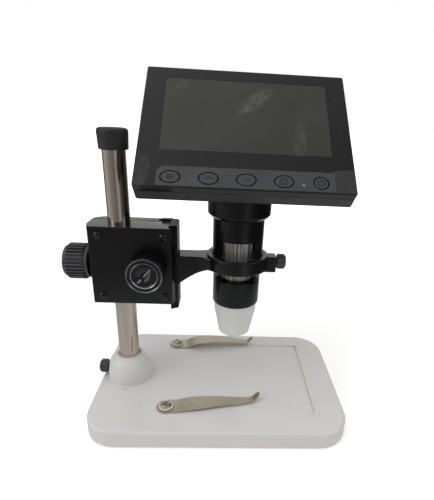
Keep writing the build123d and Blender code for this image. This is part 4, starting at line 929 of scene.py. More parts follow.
# Hard nylon in dark grey, glossy enough for each rib's back to catch the light
knob_plastic = moulded(
    "knob_plastic",
    "#36363A",
    "#404045",
    (0.16, 0.22),
    grain=0.35,
    depth=0.002,
    patch=6.0,
    Specular_IOR_Level=0.9,
)
foot_lock = thumb_screw(
    "foot_lock_screw",
    soften(oblong(0.0, foot_radius - 0.5, 0.0, foot_length), [0, 0.8, 1.2, 0], 4),
    rib(1.1, foot_radius - 1.2, foot_radius, 0.3, foot_length - 0.7, 0.6),
    20,
    foot_stem_reach,
    upright(foot_inner, line_y, foot_screw_z) @ Matrix.Rotation(radians(-90), 4, "Y"),
)
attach(foot_lock, "base_lock")
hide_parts("base_lock_screw")

# Stage clips
# Two strips of nickel-plated spring steel. Each turns on a screw at its flat eye, rises and falls to the
# stage, and ends in a tip that is turned up. A pale nylon washer and a slotted screw hold it.
clip_places = (
    (-34.5, -34.5, 6.8, 1.6, "clip_front", "stage_clip_front"),
    (-35.0, 40.0, 2.7, 4.5, "clip_rear", "stage_clip_rear"),
)
clip_bottom, clip_thickness = 12.8, 0.7
clip_half, clip_tip_half, clip_reach, clip_taper = 6.2, 2.5, 62.0, 20.0
clip_arms = ((7.5, 0.0), (15.5, 0.72), (26.7, 1.0), (40.3, 0.85), (54.0, 0.45))
clip_tab = ((58.0, 1.6), (62.0, 6.4))
clip_hole_radius, clip_soft_edge, clip_least_half = 2.15, 0.18, 0.2
clip_flat, eye_steps, bend_steps, tab_steps = 8.0, 16, 60, 10
washer_bottom, washer_radius, washer_bore, washer_height = 13.6, 4.8, 1.95, 1.0
clip_screw_radius, clip_screw_height = 3.6, 2.0
clip_slot_width, clip_slot_depth = 0.8, 0.9

# Rolled spring steel, whose fine marks along the strip spread its shine
spring_steel, tree, shader, place = open_finish("spring_steel", "#B5AD9C", 0.38, Metallic=0.85)
rolled = add_node(tree, "ShaderNodeMapping", {"Vector": place, "Scale": (0.05, 1.0, 1.0)}).outputs[0]
blooming = shades(tree, cloud(tree, place, 9.0, 3.0), "#B4AC9B", "#C1B9A9", 0.2, 0.8)
wear(tree, shader, blooming, between(tree, cloud(tree, rolled, 0.7, 3.0), 0.34, 0.44))
relief(tree, shader, cloud(tree, rolled, 0.3, 1.0), 0.002)

# Cream nylon with a waxy sheen, and nickel plate, warmer and brighter than the zinc
washer_nylon = moulded("washer_nylon", "#C8C5B9", "#D3D0C5", (0.35, 0.5), grain=0.4, depth=0.006, patch=3.0)
screw_nickel = zinc_finish("screw_nickel", "#B4AB9C", "#CFC7B8", 0.26, 0.4)


def smooth_line(points, count):
    """Even points along a smooth curve through the given ones."""
    curve = bpy.data.curves.new("line", "CURVE")
    curve.dimensions = "3D"
    spline = curve.splines.new("BEZIER")
    spline.bezier_points.add(len(points) - 1)
    for knot, point in zip(spline.bezier_points, points):
        knot.co = (*point, 0.0)
        knot.handle_left_type = knot.handle_right_type = "AUTO"
    spline.resolution_u = 24
    holder = bpy.data.objects.new("line", curve)
    bpy.context.scene.collection.objects.link(holder)
    bpy.context.view_layer.update()
    graph = bpy.context.evaluated_depsgraph_get()
    data = bpy.data.meshes.new_from_object(holder.evaluated_get(graph), depsgraph=graph)
    line = [v.co.xy.copy() for v in data.vertices]
    bpy.data.objects.remove(holder)
    steps = [0.0]
    for one, other in zip(line, line[1:]):
        steps.append(steps[-1] + (other - one).length)
    even_line, k = [], 0
    for i in range(count + 1):
        want = steps[-1] * i / count
        while k < len(steps) - 2 and steps[k + 1] < want:
            k += 1
        share = (want - steps[k]) / max(1e-9, steps[k + 1] - steps[k])
        even_line.append(line[k].lerp(line[k + 1], min(1.0, share)))
    return even_line


def clip_half_width(reach):
    """Half the strip's width, so far from the eye's middle."""
    least = clip_least_half**2
    if reach < 0:
        return sqrt(max(least, clip_half**2 - reach**2))
    if reach > clip_reach - clip_tip_half:
        return sqrt(max(least, clip_tip_half**2 - (reach - clip_reach + clip_tip_half) ** 2))
    share = max(0.0, (reach - clip_taper) / (clip_reach - clip_tip_half - clip_taper))
    return clip_half + (clip_tip_half - clip_half) * share


for clip_x, clip_y, clip_turn, arch, body, node in clip_places:
    place = upright(clip_x, clip_y, clip_bottom) @ Matrix.Rotation(radians(clip_turn), 4, "Z")
    bend = smooth_line([(x, share * arch) for x, share in clip_arms] + [clip_tab[0]], bend_steps)
    eye_step = (clip_half + clip_flat) / eye_steps
    clip_spine = [Vector((eye_step * k - clip_half, 0.0)) for k in range(eye_steps)] + bend
    tab_foot, tab_tip = Vector(clip_tab[0]), Vector(clip_tab[1])
    clip_spine += [tab_foot.lerp(tab_tip, k / tab_steps) for k in range(1, tab_steps + 1)]
    mesh = bmesh.new()
    rows = []
    for i, spot in enumerate(clip_spine):
        before, after = clip_spine[max(0, i - 1)], clip_spine[min(len(clip_spine) - 1, i + 1)]
        along = (after - before).normalized()
        up = Vector((-along.y, along.x)) * clip_thickness / 2
        half = clip_half_width(spot.x)
        middle = Vector((spot.x, spot.y + clip_thickness / 2))
        section = []
        for side, level in ((-1, -1), (1, -1), (1, 1), (-1, 1)):
            for ease in ((0, 1), (1, 0)) if side * level > 0 else ((1, 0), (0, 1)):
                width = side * (half - clip_soft_edge * ease[0])
                height = middle + up * level * (1 - ease[1] * 2 * clip_soft_edge / clip_thickness)
                section.append(mesh.verts.new(place @ Vector((height.x, width, height.y))))
        rows.append(section)
    for one, other in zip(rows, rows[1:]):
        for k in range(8):
            mesh.faces.new((one[k - 1], one[k], other[k], other[k - 1]))
    mesh.faces.new(rows[0])
    mesh.faces.new(rows[-1])
    clip = settle(body + "_spring", mesh, spring_steel, 40)
    hole_outline = oblong(0.0, clip_hole_radius, -2.0, 3.0)
    hole = lathe("hole_tool", hole_outline, upright(clip_x, clip_y, clip_bottom), spring_steel, 32)
    clip = cut_away(clip, hole)
    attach(clip, body)
    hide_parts(node)

washer_outline = soften(oblong(washer_bore, washer_radius, 0.0, washer_height), [0, 0.2, 0.4, 0], 4)
washers = [
    lathe("washer_" + body, washer_outline, upright(x, y, washer_bottom), washer_nylon, 48)
    for x, y, turn, arch, body, node in clip_places
]
clip_washers = join("clip_washer_pair", *washers)
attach(clip_washers, "base")
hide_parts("clip_washers")
clip_dome = [
    (0.0, 0.0),
    (clip_screw_radius, 0.0),
    (clip_screw_radius, 0.9),
    (clip_screw_radius - 0.7, 1.5),
    (2.0, 1.85),
    (0.0, clip_screw_height),
]
clip_dome = soften(clip_dome, [0, 0, 0.5, 1.5, 3, 0], 4)
clip_slot = (2.4 * clip_screw_radius, clip_slot_width, 2 * clip_slot_depth)
one_screw = cut_away(
    lathe("clip_screw", clip_dome, Matrix.Identity(4), screw_nickel, 48),
    block_tool(clip_slot, (0, 0, clip_screw_height), Matrix.Identity(4), screw_nickel),
)
clip_screws = screws(
    "clip_screw_pair",
    one_screw,
    [(x, y, washer_bottom + washer_height) for x, y, turn, arch, body, node in clip_places],
    upright(0, 0),
    screw_nickel,
    11,
)
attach(clip_screws, "base")
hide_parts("clip_screws")

# Sleeve and focus block
# A split black sleeve slides on the column inside a two-part block, die-cast and painted satin black. The
# front body and the back cover meet in a seam, four recessed socket screws hold them, and the right side is
# open for the slider.
block_low, block_high = 76.5, 126.5
block_left, block_right = -83.2, -29.8
block_front, block_back, block_seam = -11.6, 13.6, 4.8
block_screw_places = ((-74.75, 81.7), (-36.2, 81.7), (-74.75, 121.3), (-36.2, 121.3))
block_screw_recess, block_screw_radius = 3.2, 2.15
seam_width, seam_depth = 0.3, 0.3
block_bore, collar_height = 8.05, 0.85
slider_face, slider_back = -28.5, -33.2
channel_half, mouth_half, channel_gap = 9.25, 7.55, 0.1
slot_bottom, slot_front, slot_rear = -41.45, 7.0, 11.0

# Deep black stoved paint with a soft, smooth shine
block_paint, tree, shader, place = open_finish("block_paint", "#0A0A0C", 0.24, Specular_IOR_Level=0.5)
depth = shades(tree, cloud(tree, place, 16.0, 3.0, 0.6), "#09090B", "#0C0C0E", 0.2, 0.8)
wear(tree, shader, depth, between(tree, cloud(tree, place, 12.0, 3.0, 0.6), 0.2, 0.28, 0.2, 0.8))
relief(tree, shader, cloud(tree, place, 0.4, 2.0), 0.002)
dress(block_paint, "column_sleeve")


def ellipse(half_width, half_height, x, y, steps=48):
    """An anticlockwise oval."""
    angles = [2 * pi * k / steps for k in range(steps)]
    return [Vector((x + half_width * cos(a), y + half_height * sin(a))) for a in angles]


# The plan runs anticlockwise from the rear left corner. The slider's channel and the rack's slot lie in its
# right side.
block_plan = [
    (block_left, block_back),
    (block_left, block_front + 7.6),
    (block_left + 2.4, block_front),
    (block_right - 2.0, block_front),
    (block_right, block_front + 5.6),
    (block_right, line_y - mouth_half),
    (slider_back - channel_gap, line_y - channel_half),
    (slider_back - channel_gap, slot_front),
    (slot_bottom, slot_front),
    (slot_bottom, slot_rear),
    (slider_back + channel_gap, slot_rear),
    (block_right, line_y + mouth_half),
    (block_right, block_back),
]
block_shell = stack(
    "block_casting",
    soften(block_plan, [12.0, 1.2, 1.0, 0.8, 0.8, 0.9, 0.2, 0.8, 0.2, 0.2, 0.3, 0.9, 0.8], 5),
    [(0.5, block_low), (0.15, block_low + 0.15), (0.0, block_low + 0.5), *rounded_end(0.7, block_high, 4)],
    upright(0, 0),
    block_paint,
    holes=[ellipse(block_bore, block_bore, column_x, line_y)],
)
# A thin collar closes the top of the bore round the column, above the sleeve.
collar = lathe(
    "block_collar",
    oblong(column_radius + 0.15, block_bore, block_high - collar_height, block_high),
    upright(column_x, line_y),
    block_paint,
)
recesses = [
    lathe(
        "recess_tool",
        oblong(0.0, block_screw_radius + 0.2, -1.0, block_screw_recess),
        upright(x, block_front, z) @ Matrix.Rotation(radians(-90), 4, "X"),
        block_paint,
        32,
    )
    for x, z in block_screw_places
]
seam_cut = block_tool(
    (block_right - block_left + 2.0, seam_width, 2 * seam_depth),
    ((block_left + block_right) / 2, block_seam, block_high),
    upright(0, 0),
    block_paint,
)
block_shell = cut_away(block_shell, *recesses, seam_cut)
block_shell = join("block_casting", block_shell, collar)
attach(block_shell, "block")
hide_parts("block_body", "block_back_cover")

# Blackened steel with a dark, oily shine
black_oxide = zinc_finish("black_oxide", "#1B1B1E", "#29292D", 0.3, 0.45)
socket_radius, socket_floor, block_screw_height = 1.25, 1.0, 2.4
socket_outline = [
    (0, 0),
    (block_screw_radius, 0),
    (block_screw_radius, block_screw_height),
    (socket_radius, block_screw_height),
    (socket_radius, socket_floor),
    (0, socket_floor),
]
socket = lathe(
    "block_screw", soften(socket_outline, [0, 0, 0.3, 0.15, 0, 0], 3), Matrix.Identity(4), black_oxide, 36
)
block_screws = screws(
    "block_screw_set",
    socket,
    [(x, z, 0) for x, z in block_screw_places],
    upright(0, block_front + block_screw_recess, 0) @ Matrix.Rotation(radians(90), 4, "X"),
    black_oxide,
    5,
)
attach(block_screws, "block")
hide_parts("block_screws")

# Lock knob
# A black plastic knob on a steel stud. The stud passes the block and presses on the split sleeve. The grip
# has thirty straight ribs, a rounded end and a smooth skirt next to the block.
lock_z = 100.0
lock_inner, lock_skirt, lock_length = -83.9, 1.7, 13.8
lock_radius, lock_skirt_radius, lock_dish_radius, lock_dish = 11.5, 10.4, 7.2, 0.5
lock_root, lock_end = lock_radius - 1.5, lock_skirt + lock_length
lock_core = [
    (0.0, 0.0),
    (lock_skirt_radius, 0.0),
    (lock_skirt_radius, lock_skirt - 0.6),
    (lock_root, lock_skirt + 0.2),
    (lock_root, lock_end),
    (lock_dish_radius + 0.4, lock_end),
    (lock_dish_radius, lock_end - lock_dish),
    (0.0, lock_end - lock_dish),
]
lock_knob = grip(
    "lock_knob_grip",
    soften(lock_core, [0, 0.6, 0.2, 0.4, 3.0, 0.3, 0.3, 0], 5),
    rib(1.05, lock_radius - 2.4, lock_radius, lock_skirt + 0.4, lock_end - 2.0, 0.8),
    30,
    upright(lock_inner, line_y, lock_z) @ Matrix.Rotation(radians(-90), 4, "Y"),
    knob_plastic,
    120,
)
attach(lock_knob, "lock")
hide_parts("lock_knob")
dress(screw_zinc, "lock_stud")

# Focus drive
# A steel shaft with a milled pinion turns in a brass bearing. Its knob is a ribbed black drum, and a disc
# with a broken diagonal groove closes the drum's end.
pinion_x, pinion_z = -46.1, 101.5
focus_inner, focus_length, focus_radius, disc_radius = -12.6, 13.0, 11.2, 7.1

# Turned brass, and milled steel with a brighter, colder shine
bearing_brass = zinc_finish("bearing_brass", "#9C7E3E", "#B8985A", 0.25, 0.4)
milled_steel = zinc_finish("milled_steel", "#8B8985", "#A8A6A2", 0.28, 0.4)
dress(bearing_brass, "shaft_bearing")
dress(milled_steel, "pinion_shaft")
focus_place = upright(pinion_x, focus_inner, pinion_z) @ Matrix.Rotation(radians(90), 4, "X")
focus_core = [
    (0.0, 0.0),
    (focus_radius - 0.6, 0.0),
    (focus_radius - 0.6, focus_length - 1.2),
    (focus_radius - 0.35, focus_length - 0.7),
    (focus_radius - 0.6, focus_length - 0.35),
    (disc_radius + 0.75, focus_length - 0.35),
    (disc_radius + 0.6, focus_length - 0.9),
    (0.0, focus_length - 0.9),
]

# Near-black nylon, pale metal painted highlights on the rim and recess, and a slightly glossier disc
drum_plastic = moulded(
    "drum_plastic", "#0D0D10", "#131316", (0.24, 0.32), grain=0.35, depth=0.003, patch=6.0
)
turned_edge = zinc_finish("turned_edge", "#8E8E92", "#A8A8AC", 0.2, 0.32)
bright_edge = zinc_finish("bright_edge", "#D6D6DA", "#E8E8EC", 0.25, 0.35)
focus_knob = grip(
    "focus_knob_drum",
    soften(focus_core, [0, 0.5, 0.3, 0.3, 0.2, 0.15, 0.1, 0], 4),
    rib(1.0, focus_radius - 1.4, focus_radius, 0.3, focus_length - 0.9, 0.5),
    36,
    focus_place,
    drum_plastic,
    120,
)
# The rim ring and the recess ring are pale metal as a painted highlight, where the real knob is black
rim = [
    (focus_radius - 1.25, focus_length - 0.5),
    (focus_radius - 0.6, focus_length - 0.5),
    (focus_radius - 0.65, focus_length - 0.05),
    (focus_radius - 0.95, focus_length),
    (focus_radius - 1.25, focus_length - 0.25),
]
recess_edge = [
    (disc_radius + 0.1, focus_length - 0.95),
    (disc_radius + 0.85, focus_length - 0.95),
    (disc_radius + 0.85, focus_length - 0.28),
    (disc_radius + 0.7, focus_length - 0.25),
    (disc_radius + 0.15, focus_length - 0.8),
]
knob_rims = [
    lathe("focus_knob_" + part, soften(outline, 0.08, 2), focus_place, finish, 120)
    for part, outline, finish in (("rim", rim, turned_edge), ("recess_edge", recess_edge, bright_edge))
]
focus_knob = join("focus_knob_drum", focus_knob, *knob_rims)
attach(focus_knob, "focus_drive")
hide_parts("focus_knob")
disc_outline = [
    (0.0, focus_length - 1.2),
    (disc_radius - 0.05, focus_length - 1.2),
    (disc_radius - 0.05, focus_length - 0.1),
    (disc_radius - 0.75, focus_length),
    (disc_radius - 1.0, focus_length - 0.3),
    (0.0, focus_length - 0.3),
]
disc_plastic = moulded(
    "disc_plastic", "#0C0C0E", "#111114", (0.22, 0.3), grain=0.35, depth=0.003, patch=6.0
)
focus_disc = lathe(
    "focus_disc", soften(disc_outline, [0, 0, 0.3, 0.25, 0.2, 0], 4), focus_place, disc_plastic, 96
)
groove_spans = ((-0.6, 5.9), (-5.9, -2.6))
groove_width, groove_depth, groove_gap = 1.1, 0.8, 0.15
groove_place = focus_place @ Matrix.Rotation(radians(49.0), 4, "Z")
grooves = [
    block_tool(
        (end - start, groove_width, 2 * (groove_depth - 0.2)),
        ((start + end) / 2, 0, focus_length - 0.2),
        groove_place,
        disc_plastic,
    )
    for start, end in groove_spans
]
focus_disc = cut_away(focus_disc, *grooves)
# Pale metal floors in the grooves are a painted highlight for the light, broken slot across the disc
groove_highlight_floors = [
    stack(
        "groove_floor",
        rounded_box(end - start - groove_gap, groove_width - groove_gap, 0.2, 3, ((start + end) / 2, 0.0)),
        [(0.0, focus_length - 0.95), (0.0, focus_length - 0.5), (0.1, focus_length - 0.4)],
        groove_place,
        bright_edge,
    )
    for start, end in groove_spans
]
focus_disc = join("focus_disc", focus_disc, *groove_highlight_floors)
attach(focus_disc, "focus_drive")
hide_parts("focus_knob_disc")

# Slider, rack and arm
# A dovetail bar of drawn aluminium, anodised black, with a blackened steel rack on its back. Two screws from
# behind hold the arm, a black casting that sweeps down to the clamp ring round the tube and ends in a lug.
tube_x = 9.0
arm_half, arm_low, arm_top, arm_blend = 6.75, 88.4, 107.5, 18.0
arm_bend, arm_tip, below_arm, past_arm = (-19.7, 95.9), -9.5, 80.0, 30.0
ring_radius, ring_bore, ring_low, ring_high = 19.8, 16.9, 99.8, 109.0
lug_start, lug_end, lug_half, lug_low, lug_high = 25.5, 34.0, 5.5, 97.5, 108.0

# Black anodising, dull and even
anodised = moulded(
    "anodised",
    "#0C0C0F",
    "#111114",
    (0.4, 0.48),
    grain=0.3,
    depth=0.002,
    patch=20.0,
    Specular_IOR_Level=0.2,
)
dress(anodised, "focus_slider")
dress(black_oxide, "focus_rack")
dress(black_oxide, "arm_screws")

blend_end = ring_radius - 0.8
blend_reach = sqrt((blend_end + arm_blend) ** 2 - (arm_half + arm_blend) ** 2)
blend_sweep = asin(blend_reach / (blend_end + arm_blend))
blend_start, blend_steps = tube_x - blend_reach, 12
near_side = [Vector((slider_face, -arm_half))]
for step in range(blend_steps + 1):
    turn = blend_sweep * step / blend_steps
    near_side.append(Vector((blend_start + arm_blend * sin(turn), -arm_half - arm_blend * (1 - cos(turn)))))
far_side = [Vector((p.x, -p.y)) for p in reversed(near_side)]
arm = stack(
    "arm_beam",
    [p + Vector((0, line_y)) for p in near_side + far_side],
    [(0.0, arm_low - 1.0), *rounded_end(0.7, arm_top, 4)],
    upright(0, 0),
    block_paint,
)
root, bend, tip = Vector((slider_face, arm_low)), Vector(arm_bend), Vector((arm_tip, ring_low))
sweep = [(1 - s) ** 2 * root + 2 * s * (1 - s) * bend + s**2 * tip for s in [k / 16 for k in range(17)]]
past_face = slider_face - 2.0
under = stack(
    "arm_tool",
    [(past_face, arm_low), *sweep, (tube_x, ring_low), (tube_x, below_arm), (past_face, below_arm)],
    [(0.0, -past_arm), (0.0, past_arm)],
    upright(0, line_y, 0) @ Matrix.Rotation(radians(90), 4, "X"),
    block_paint,
)
arm = cut_away(arm, under)
ring_outline = oblong(ring_bore, ring_radius, ring_low, ring_high)
clamp_ring = lathe(
    "arm_ring", soften(ring_outline, [0.3, 1.0, 1.0, 0.3], 4), upright(tube_x, line_y), block_paint, 128
)
# A piece's own width then runs to the back, its depth upwards and its height to the right
pointing_right = Matrix(((0, 0, 1, 0), (1, 0, 0, 0), (0, 1, 0, 0), (0, 0, 0, 1)))
lug = stack(
    "arm_lug",
    rounded_box(2 * lug_half, lug_high - lug_low, 2.0, 6, (line_y, (lug_low + lug_high) / 2)),
    [(0.0, lug_start), *rounded_end(0.7, lug_end, 4)],
    Matrix.Scale(0.001, 4) @ pointing_right,
    block_paint,
)
clamp_arm = join("clamp_arm_casting", arm, clamp_ring, lug)
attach(clamp_arm, "slider")
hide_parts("clamp_arm")

# Black nylon with a satin face
liner_plastic = moulded("liner_plastic", "#0D0D0F", "#131315", (0.3, 0.4), grain=0.4, depth=0.004)
tube_clearance = 16.05
liner_outline = oblong(tube_clearance, ring_bore - 0.05, ring_low + 0.1, ring_high - 0.1)
ring_liner = lathe(
    "liner_sleeve", soften(liner_outline, 0.15, 2), upright(tube_x, line_y), liner_plastic, 128
)
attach(ring_liner, "slider")
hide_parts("ring_liner")

# Ring screw
# A small ribbed screw through the lug, which bears on the liner.
ring_screw_inner, ring_screw_z = 34.5, 104.0
ring_screw_radius, ring_screw_length, ring_stem_reach = 4.9, 6.0, 7.5
ring_screw = thumb_screw(
    "ring_screw_grip",
    soften(oblong(0.0, ring_screw_radius - 0.5, 0.0, ring_screw_length), [0, 0.6, 1.1, 0], 4),
    rib(1.0, ring_screw_radius - 1.3, ring_screw_radius, 0.2, ring_screw_length - 0.6, 0.6),
    18,
    ring_stem_reach,
    upright(ring_screw_inner, line_y, ring_screw_z) @ Matrix.Rotation(radians(90), 4, "Y"),
    72,
)
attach(ring_screw, "ring_lock")
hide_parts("ring_screw")

# Tube
# A thin-walled black tube with a finger window in front and behind, through which the focus ring is turned.
# It is slimmer below the windows' middle and its lower lip is rounded.
tube_radius, tube_slim, tube_bore = 16.0, 15.2, 13.4
tube_low, tube_high, step_low, step_high = 75.8, 146.0, 95.6, 98.4
window_low, window_high, window_half = 92.0, 119.8, 12.3
window_steps, window_round, window_margin = 24, 0.4, 0.6
floor_bore, floor_thickness, floor_heights = 7.0, 2.0, (90.0, 122.0)

# Smooth black ABS, glossy, with a dark and narrow highlight
tube_plastic = moulded(
    "tube_plastic",
    "#060607",
    "#09090A",
    (0.24, 0.3),
    grain=0.5,
    depth=0.002,
    patch=12.0,
    Specular_IOR_Level=0.4,
)
side_profile = [
    (tube_slim - 0.9, tube_low),
    (tube_slim - 0.35, tube_low + 0.12),
    (tube_slim - 0.08, tube_low + 0.45),
    (tube_slim, tube_low + 1.0),
    (tube_slim, 82.0),
    (tube_slim, window_low),
    (tube_slim, step_low),
    (tube_slim + 0.1, step_low + 0.6),
    (tube_radius - 0.1, step_high - 0.6),
    (tube_radius, step_high),
    (tube_radius, 109.0),
    (tube_radius, window_high),
    (tube_radius, 133.0),
    (tube_radius, tube_high),
]
window_turn = asin(window_half / tube_radius)
turns = []
for middle in (-pi / 2, pi / 2):
    step, wide_step = 2 * window_turn / window_steps, (pi - 2 * window_turn) / window_steps
    turns += [middle - window_turn + step * k for k in range(window_steps + 1)]
    turns += [middle + window_turn + wide_step * k for k in range(1, window_steps)]
mesh = bmesh.new()
place = upright(tube_x, line_y)


def tube_wall(profile):
    """The tube's corners, one ring for each (radius, height) of a profile."""
    return [[mesh.verts.new(place @ Vector((r * cos(a), r * sin(a), z))) for a in turns] for r, z in profile]


outside = tube_wall(side_profile)
inside = tube_wall([(tube_bore, z) for r, z in side_profile])
span, top_row = len(turns), len(side_profile) - 1


def in_window(k, row):
    """Whether the cell after a turn and above a row lies in a window."""
    across = k % (2 * window_steps) < window_steps
    return across and window_low <= side_profile[row][1] < window_high


for row in range(top_row):
    for k in range(span):
        n = (k + 1) % span
        if in_window(k, row):
            continue
        mesh.faces.new((outside[row][k], outside[row][n], outside[row + 1][n], outside[row + 1][k]))
        mesh.faces.new((inside[row][n], inside[row][k], inside[row + 1][k], inside[row + 1][n]))
        for other, (a, b) in (((k - 1) % span, (k, k)), (n, (n, n))):
            if in_window(other, row):
                mesh.faces.new((outside[row][a], outside[row + 1][a], inside[row + 1][a], inside[row][a]))
        for step, level in ((-1, row), (1, row + 1)):
            beyond = row + step
            if 0 <= beyond < top_row and in_window(k, beyond):
                mesh.faces.new((outside[level][k], outside[level][n], inside[level][n], inside[level][k]))
for level in (0, top_row):
    for k in range(span):
        n = (k + 1) % span
        mesh.faces.new((outside[level][k], outside[level][n], inside[level][n], inside[level][k]))
bevel_edges = [
    e
    for e in mesh.edges
    if len(e.link_faces) == 2
    and e.calc_face_angle(0) > radians(50)
    and all(window_low - window_margin < 1000 * v.co.z < window_high + window_margin for v in e.verts)
]
bmesh.ops.bevel(
    mesh,
    geom=bevel_edges,
    offset=window_round / 1000,
    segments=2,
    affect="EDGES",
    profile=0.5,
    clamp_overlap=True,
)
tube = settle("tube_shell", mesh, tube_plastic)
floors = [
    lathe(
        "tube_floor",
        oblong(floor_bore, tube_bore + 0.2, z, z + floor_thickness),
        upright(tube_x, line_y),
        tube_plastic,
        72,
    )
    for z in floor_heights
]
tube = join("tube_barrel", tube, *floors)
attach(tube, "head")
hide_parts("tube")

# Focus ring, lens and light ring
# The focus ring is turned aluminium with a straight knurl. It moves the pale lens carrier, which holds the
# front lens. Round the carrier a small board carries eight white lamps.
knurl_radius, knurl_low, knurl_high = 10.4, 93.0, 121.9
ring_body_radius, ring_hub_radius, ring_hollow, ring_foot = 10.0, 8.4, 6.75, 92.1

# Bare turned aluminium; streaks along the ribs from dark to light are painted highlights and shade
knurled, tree, shader, place = open_finish("knurled_aluminium", "#C4C2BC", 0.3, Metallic=0.7)
streak = add_node(tree, "ShaderNodeMapping", {"Vector": place, "Scale": along_axis}).outputs[0]
wear(tree, shader, shades(tree, cloud(tree, streak, 0.9, 2.0), "#74716B", "#F2F0EB"))
ring_core = [
    (ring_hollow, ring_foot),
    (ring_hub_radius, ring_foot),
    (ring_hub_radius, knurl_low),
    (ring_body_radius, knurl_low),
    (ring_body_radius, knurl_high),
    (ring_hollow, knurl_high),
]
focus_ring = grip(
    "focus_ring_knurl",
    soften(ring_core, [0, 0.2, 0, 0.3, 0.3, 0], 3),
    rib(0.62, ring_body_radius - 0.4, knurl_radius, knurl_low + 0.1, knurl_high - 0.1, 0.35),
    72,
    upright(tube_x, line_y),
    knurled,
    144,
)
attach(focus_ring, "fine_focus")
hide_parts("focus_ring")

# Clear acrylic that hides little, a white holder that throws the lamps' light back, clear glass with a
# trace of handling, green lacquered boards and the lamps' pale yellow resin
carrier_plastic = moulded(
    "carrier_plastic",
    "#F3F4F2",
    "#F8F9F7",
    (0.12, 0.18),
    grain=0.4,
    depth=0.001,
    Transmission_Weight=0.88,
    IOR=1.1,
)
dress(carrier_plastic, "lens_carrier")
holder_white = moulded("holder_white", "#E3E4E1", "#ECEDEA", (0.35, 0.45), grain=0.4, depth=0.004)
dress(holder_white, "led_holder")
lens_glass, tree, shader, place = open_finish(
    "lens_glass", "#E9F0F4", 0.03, Transmission_Weight=0.85, IOR=1.52
)
wear(tree, shader, roughness=between(tree, cloud(tree, place, 3.0, 3.0), 0.02, 0.06))
dress(lens_glass, "lens")
board_green = moulded("board_green", "#1F4A34", "#2A5B41", (0.3, 0.45), grain=0.8, depth=0.02, patch=4.0)
dress(board_green, "led_board", "sensor_board", "main_board", "key_board")
lamp_white = moulded("lamp_white", "#D9D6C4", "#E6E3D4", (0.3, 0.4), grain=0.4, depth=0.005, patch=2.0)
dress(lamp_white, "leds")

# Nose
# A clear, slightly frosted plastic cap that plugs into the tube's end. Its wall is thin, and it narrows to
# the open end through which the lens looks.
plug_radius, plug_high, plug_low = 13.35, 85.8, 75.3
nose_radius, waist_radius, waist_z, tip_radius, tip_z, nose_wall = 14.1, 13.9, 69.5, 10.3, 52.3, 1.2
nose_profile = [
    (plug_radius - nose_wall, plug_high),
    (plug_radius, plug_high),
    (plug_radius, plug_low),
    (nose_radius, plug_low),
    (waist_radius, waist_z),
    (tip_radius, tip_z),
    (tip_radius - nose_wall, tip_z),
    (waist_radius - nose_wall, waist_z),
    (plug_radius - nose_wall, plug_low - 1.0),
]

# Frosted polycarbonate: milky, so that little behind it shows, with a soft shine on its shoulders
nose_plastic, tree, shader, place = open_finish(
    "nose_plastic", "#F4F5F3", 0.16, Transmission_Weight=0.35, IOR=1.45
)
wear(tree, shader, roughness=between(tree, cloud(tree, place, 9.0, 2.0, 0.5), 0.13, 0.2))
nose = lathe(
    "nose_cap",
    soften(nose_profile, [0.3, 0.4, 0, 0.3, 6.0, 0.5, 0.3, 6.0, 0], 5),
    upright(tube_x, line_y),
    nose_plastic,
    128,
)
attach(nose, "nose")
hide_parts("nose_cover")

# Neck
# The thick black sleeve round the tube's upper end. It carries the display and is cut off square to the
# display's back.
display_tilt = radians(43.0)
display_middle = (10.6, 0.0, 184.7)
display_thickness = 12.6
neck_low, neck_high, neck_radius, neck_bevel = 133.0, 205.0, 19.5, 2.4
neck_outline = [
    (tube_clearance, neck_low),
    (neck_radius - neck_bevel, neck_low),
    (neck_radius, neck_low + neck_bevel),
    (neck_radius, neck_high),
    (tube_clearance, neck_high),
]
neck = lathe(
    "neck_sleeve", soften(neck_outline, [0.3, 0.9, 1.2, 0, 0], 4), upright(tube_x, line_y), tube_plastic, 128
)
face_place = (
    Matrix.Scale(0.001, 4)
    @ Matrix.Translation(display_middle)
    @ Matrix.Rotation(display_tilt, 4, "X")
)
cut_width, cut_height = 120.0, 60.0
neck = cut_away(
    neck,
    block_tool(
        (cut_width, cut_width, cut_height),
        (0, 0, cut_height / 2 - display_thickness),
        face_place,
        tube_plastic,
    ),
)
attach(neck, "head")
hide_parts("neck")

# Display housing
# A shallow black tray behind the front panel, open towards it, with rounded rear edges. Four screws from
# behind pass it. Its right side has the power socket, the card slot and the slot of the dimmer wheel.
display_width, display_height, display_corner = 118.6, 87.0, 1.3
housing_wall, housing_skin, housing_edge, housing_round = 2.5, 2.0, 0.25, 1.6
panel_depth, parting = 4.2, 0.12
housing_screw_places = ((-54.2, 36.0), (54.2, 36.0), (-54.2, -38.0), (54.2, -38.0))
housing_screw_radius, housing_screw_height = 1.5, 0.9
# Each opening's place along the side and below the face, and the length, width and height of its cut
side_openings = ((11.0, -8.3, 10.0, 8.2, 3.1), (-6.0, -7.75, 10.0, 12.2, 2.0), (27.0, -7.6, 9.0, 8.6, 3.0))
wheel_radius, wheel_root, wheel_bore, wheel_half, wheel_stand_out = 5.0, 4.6, 1.25, 1.2, 1.1

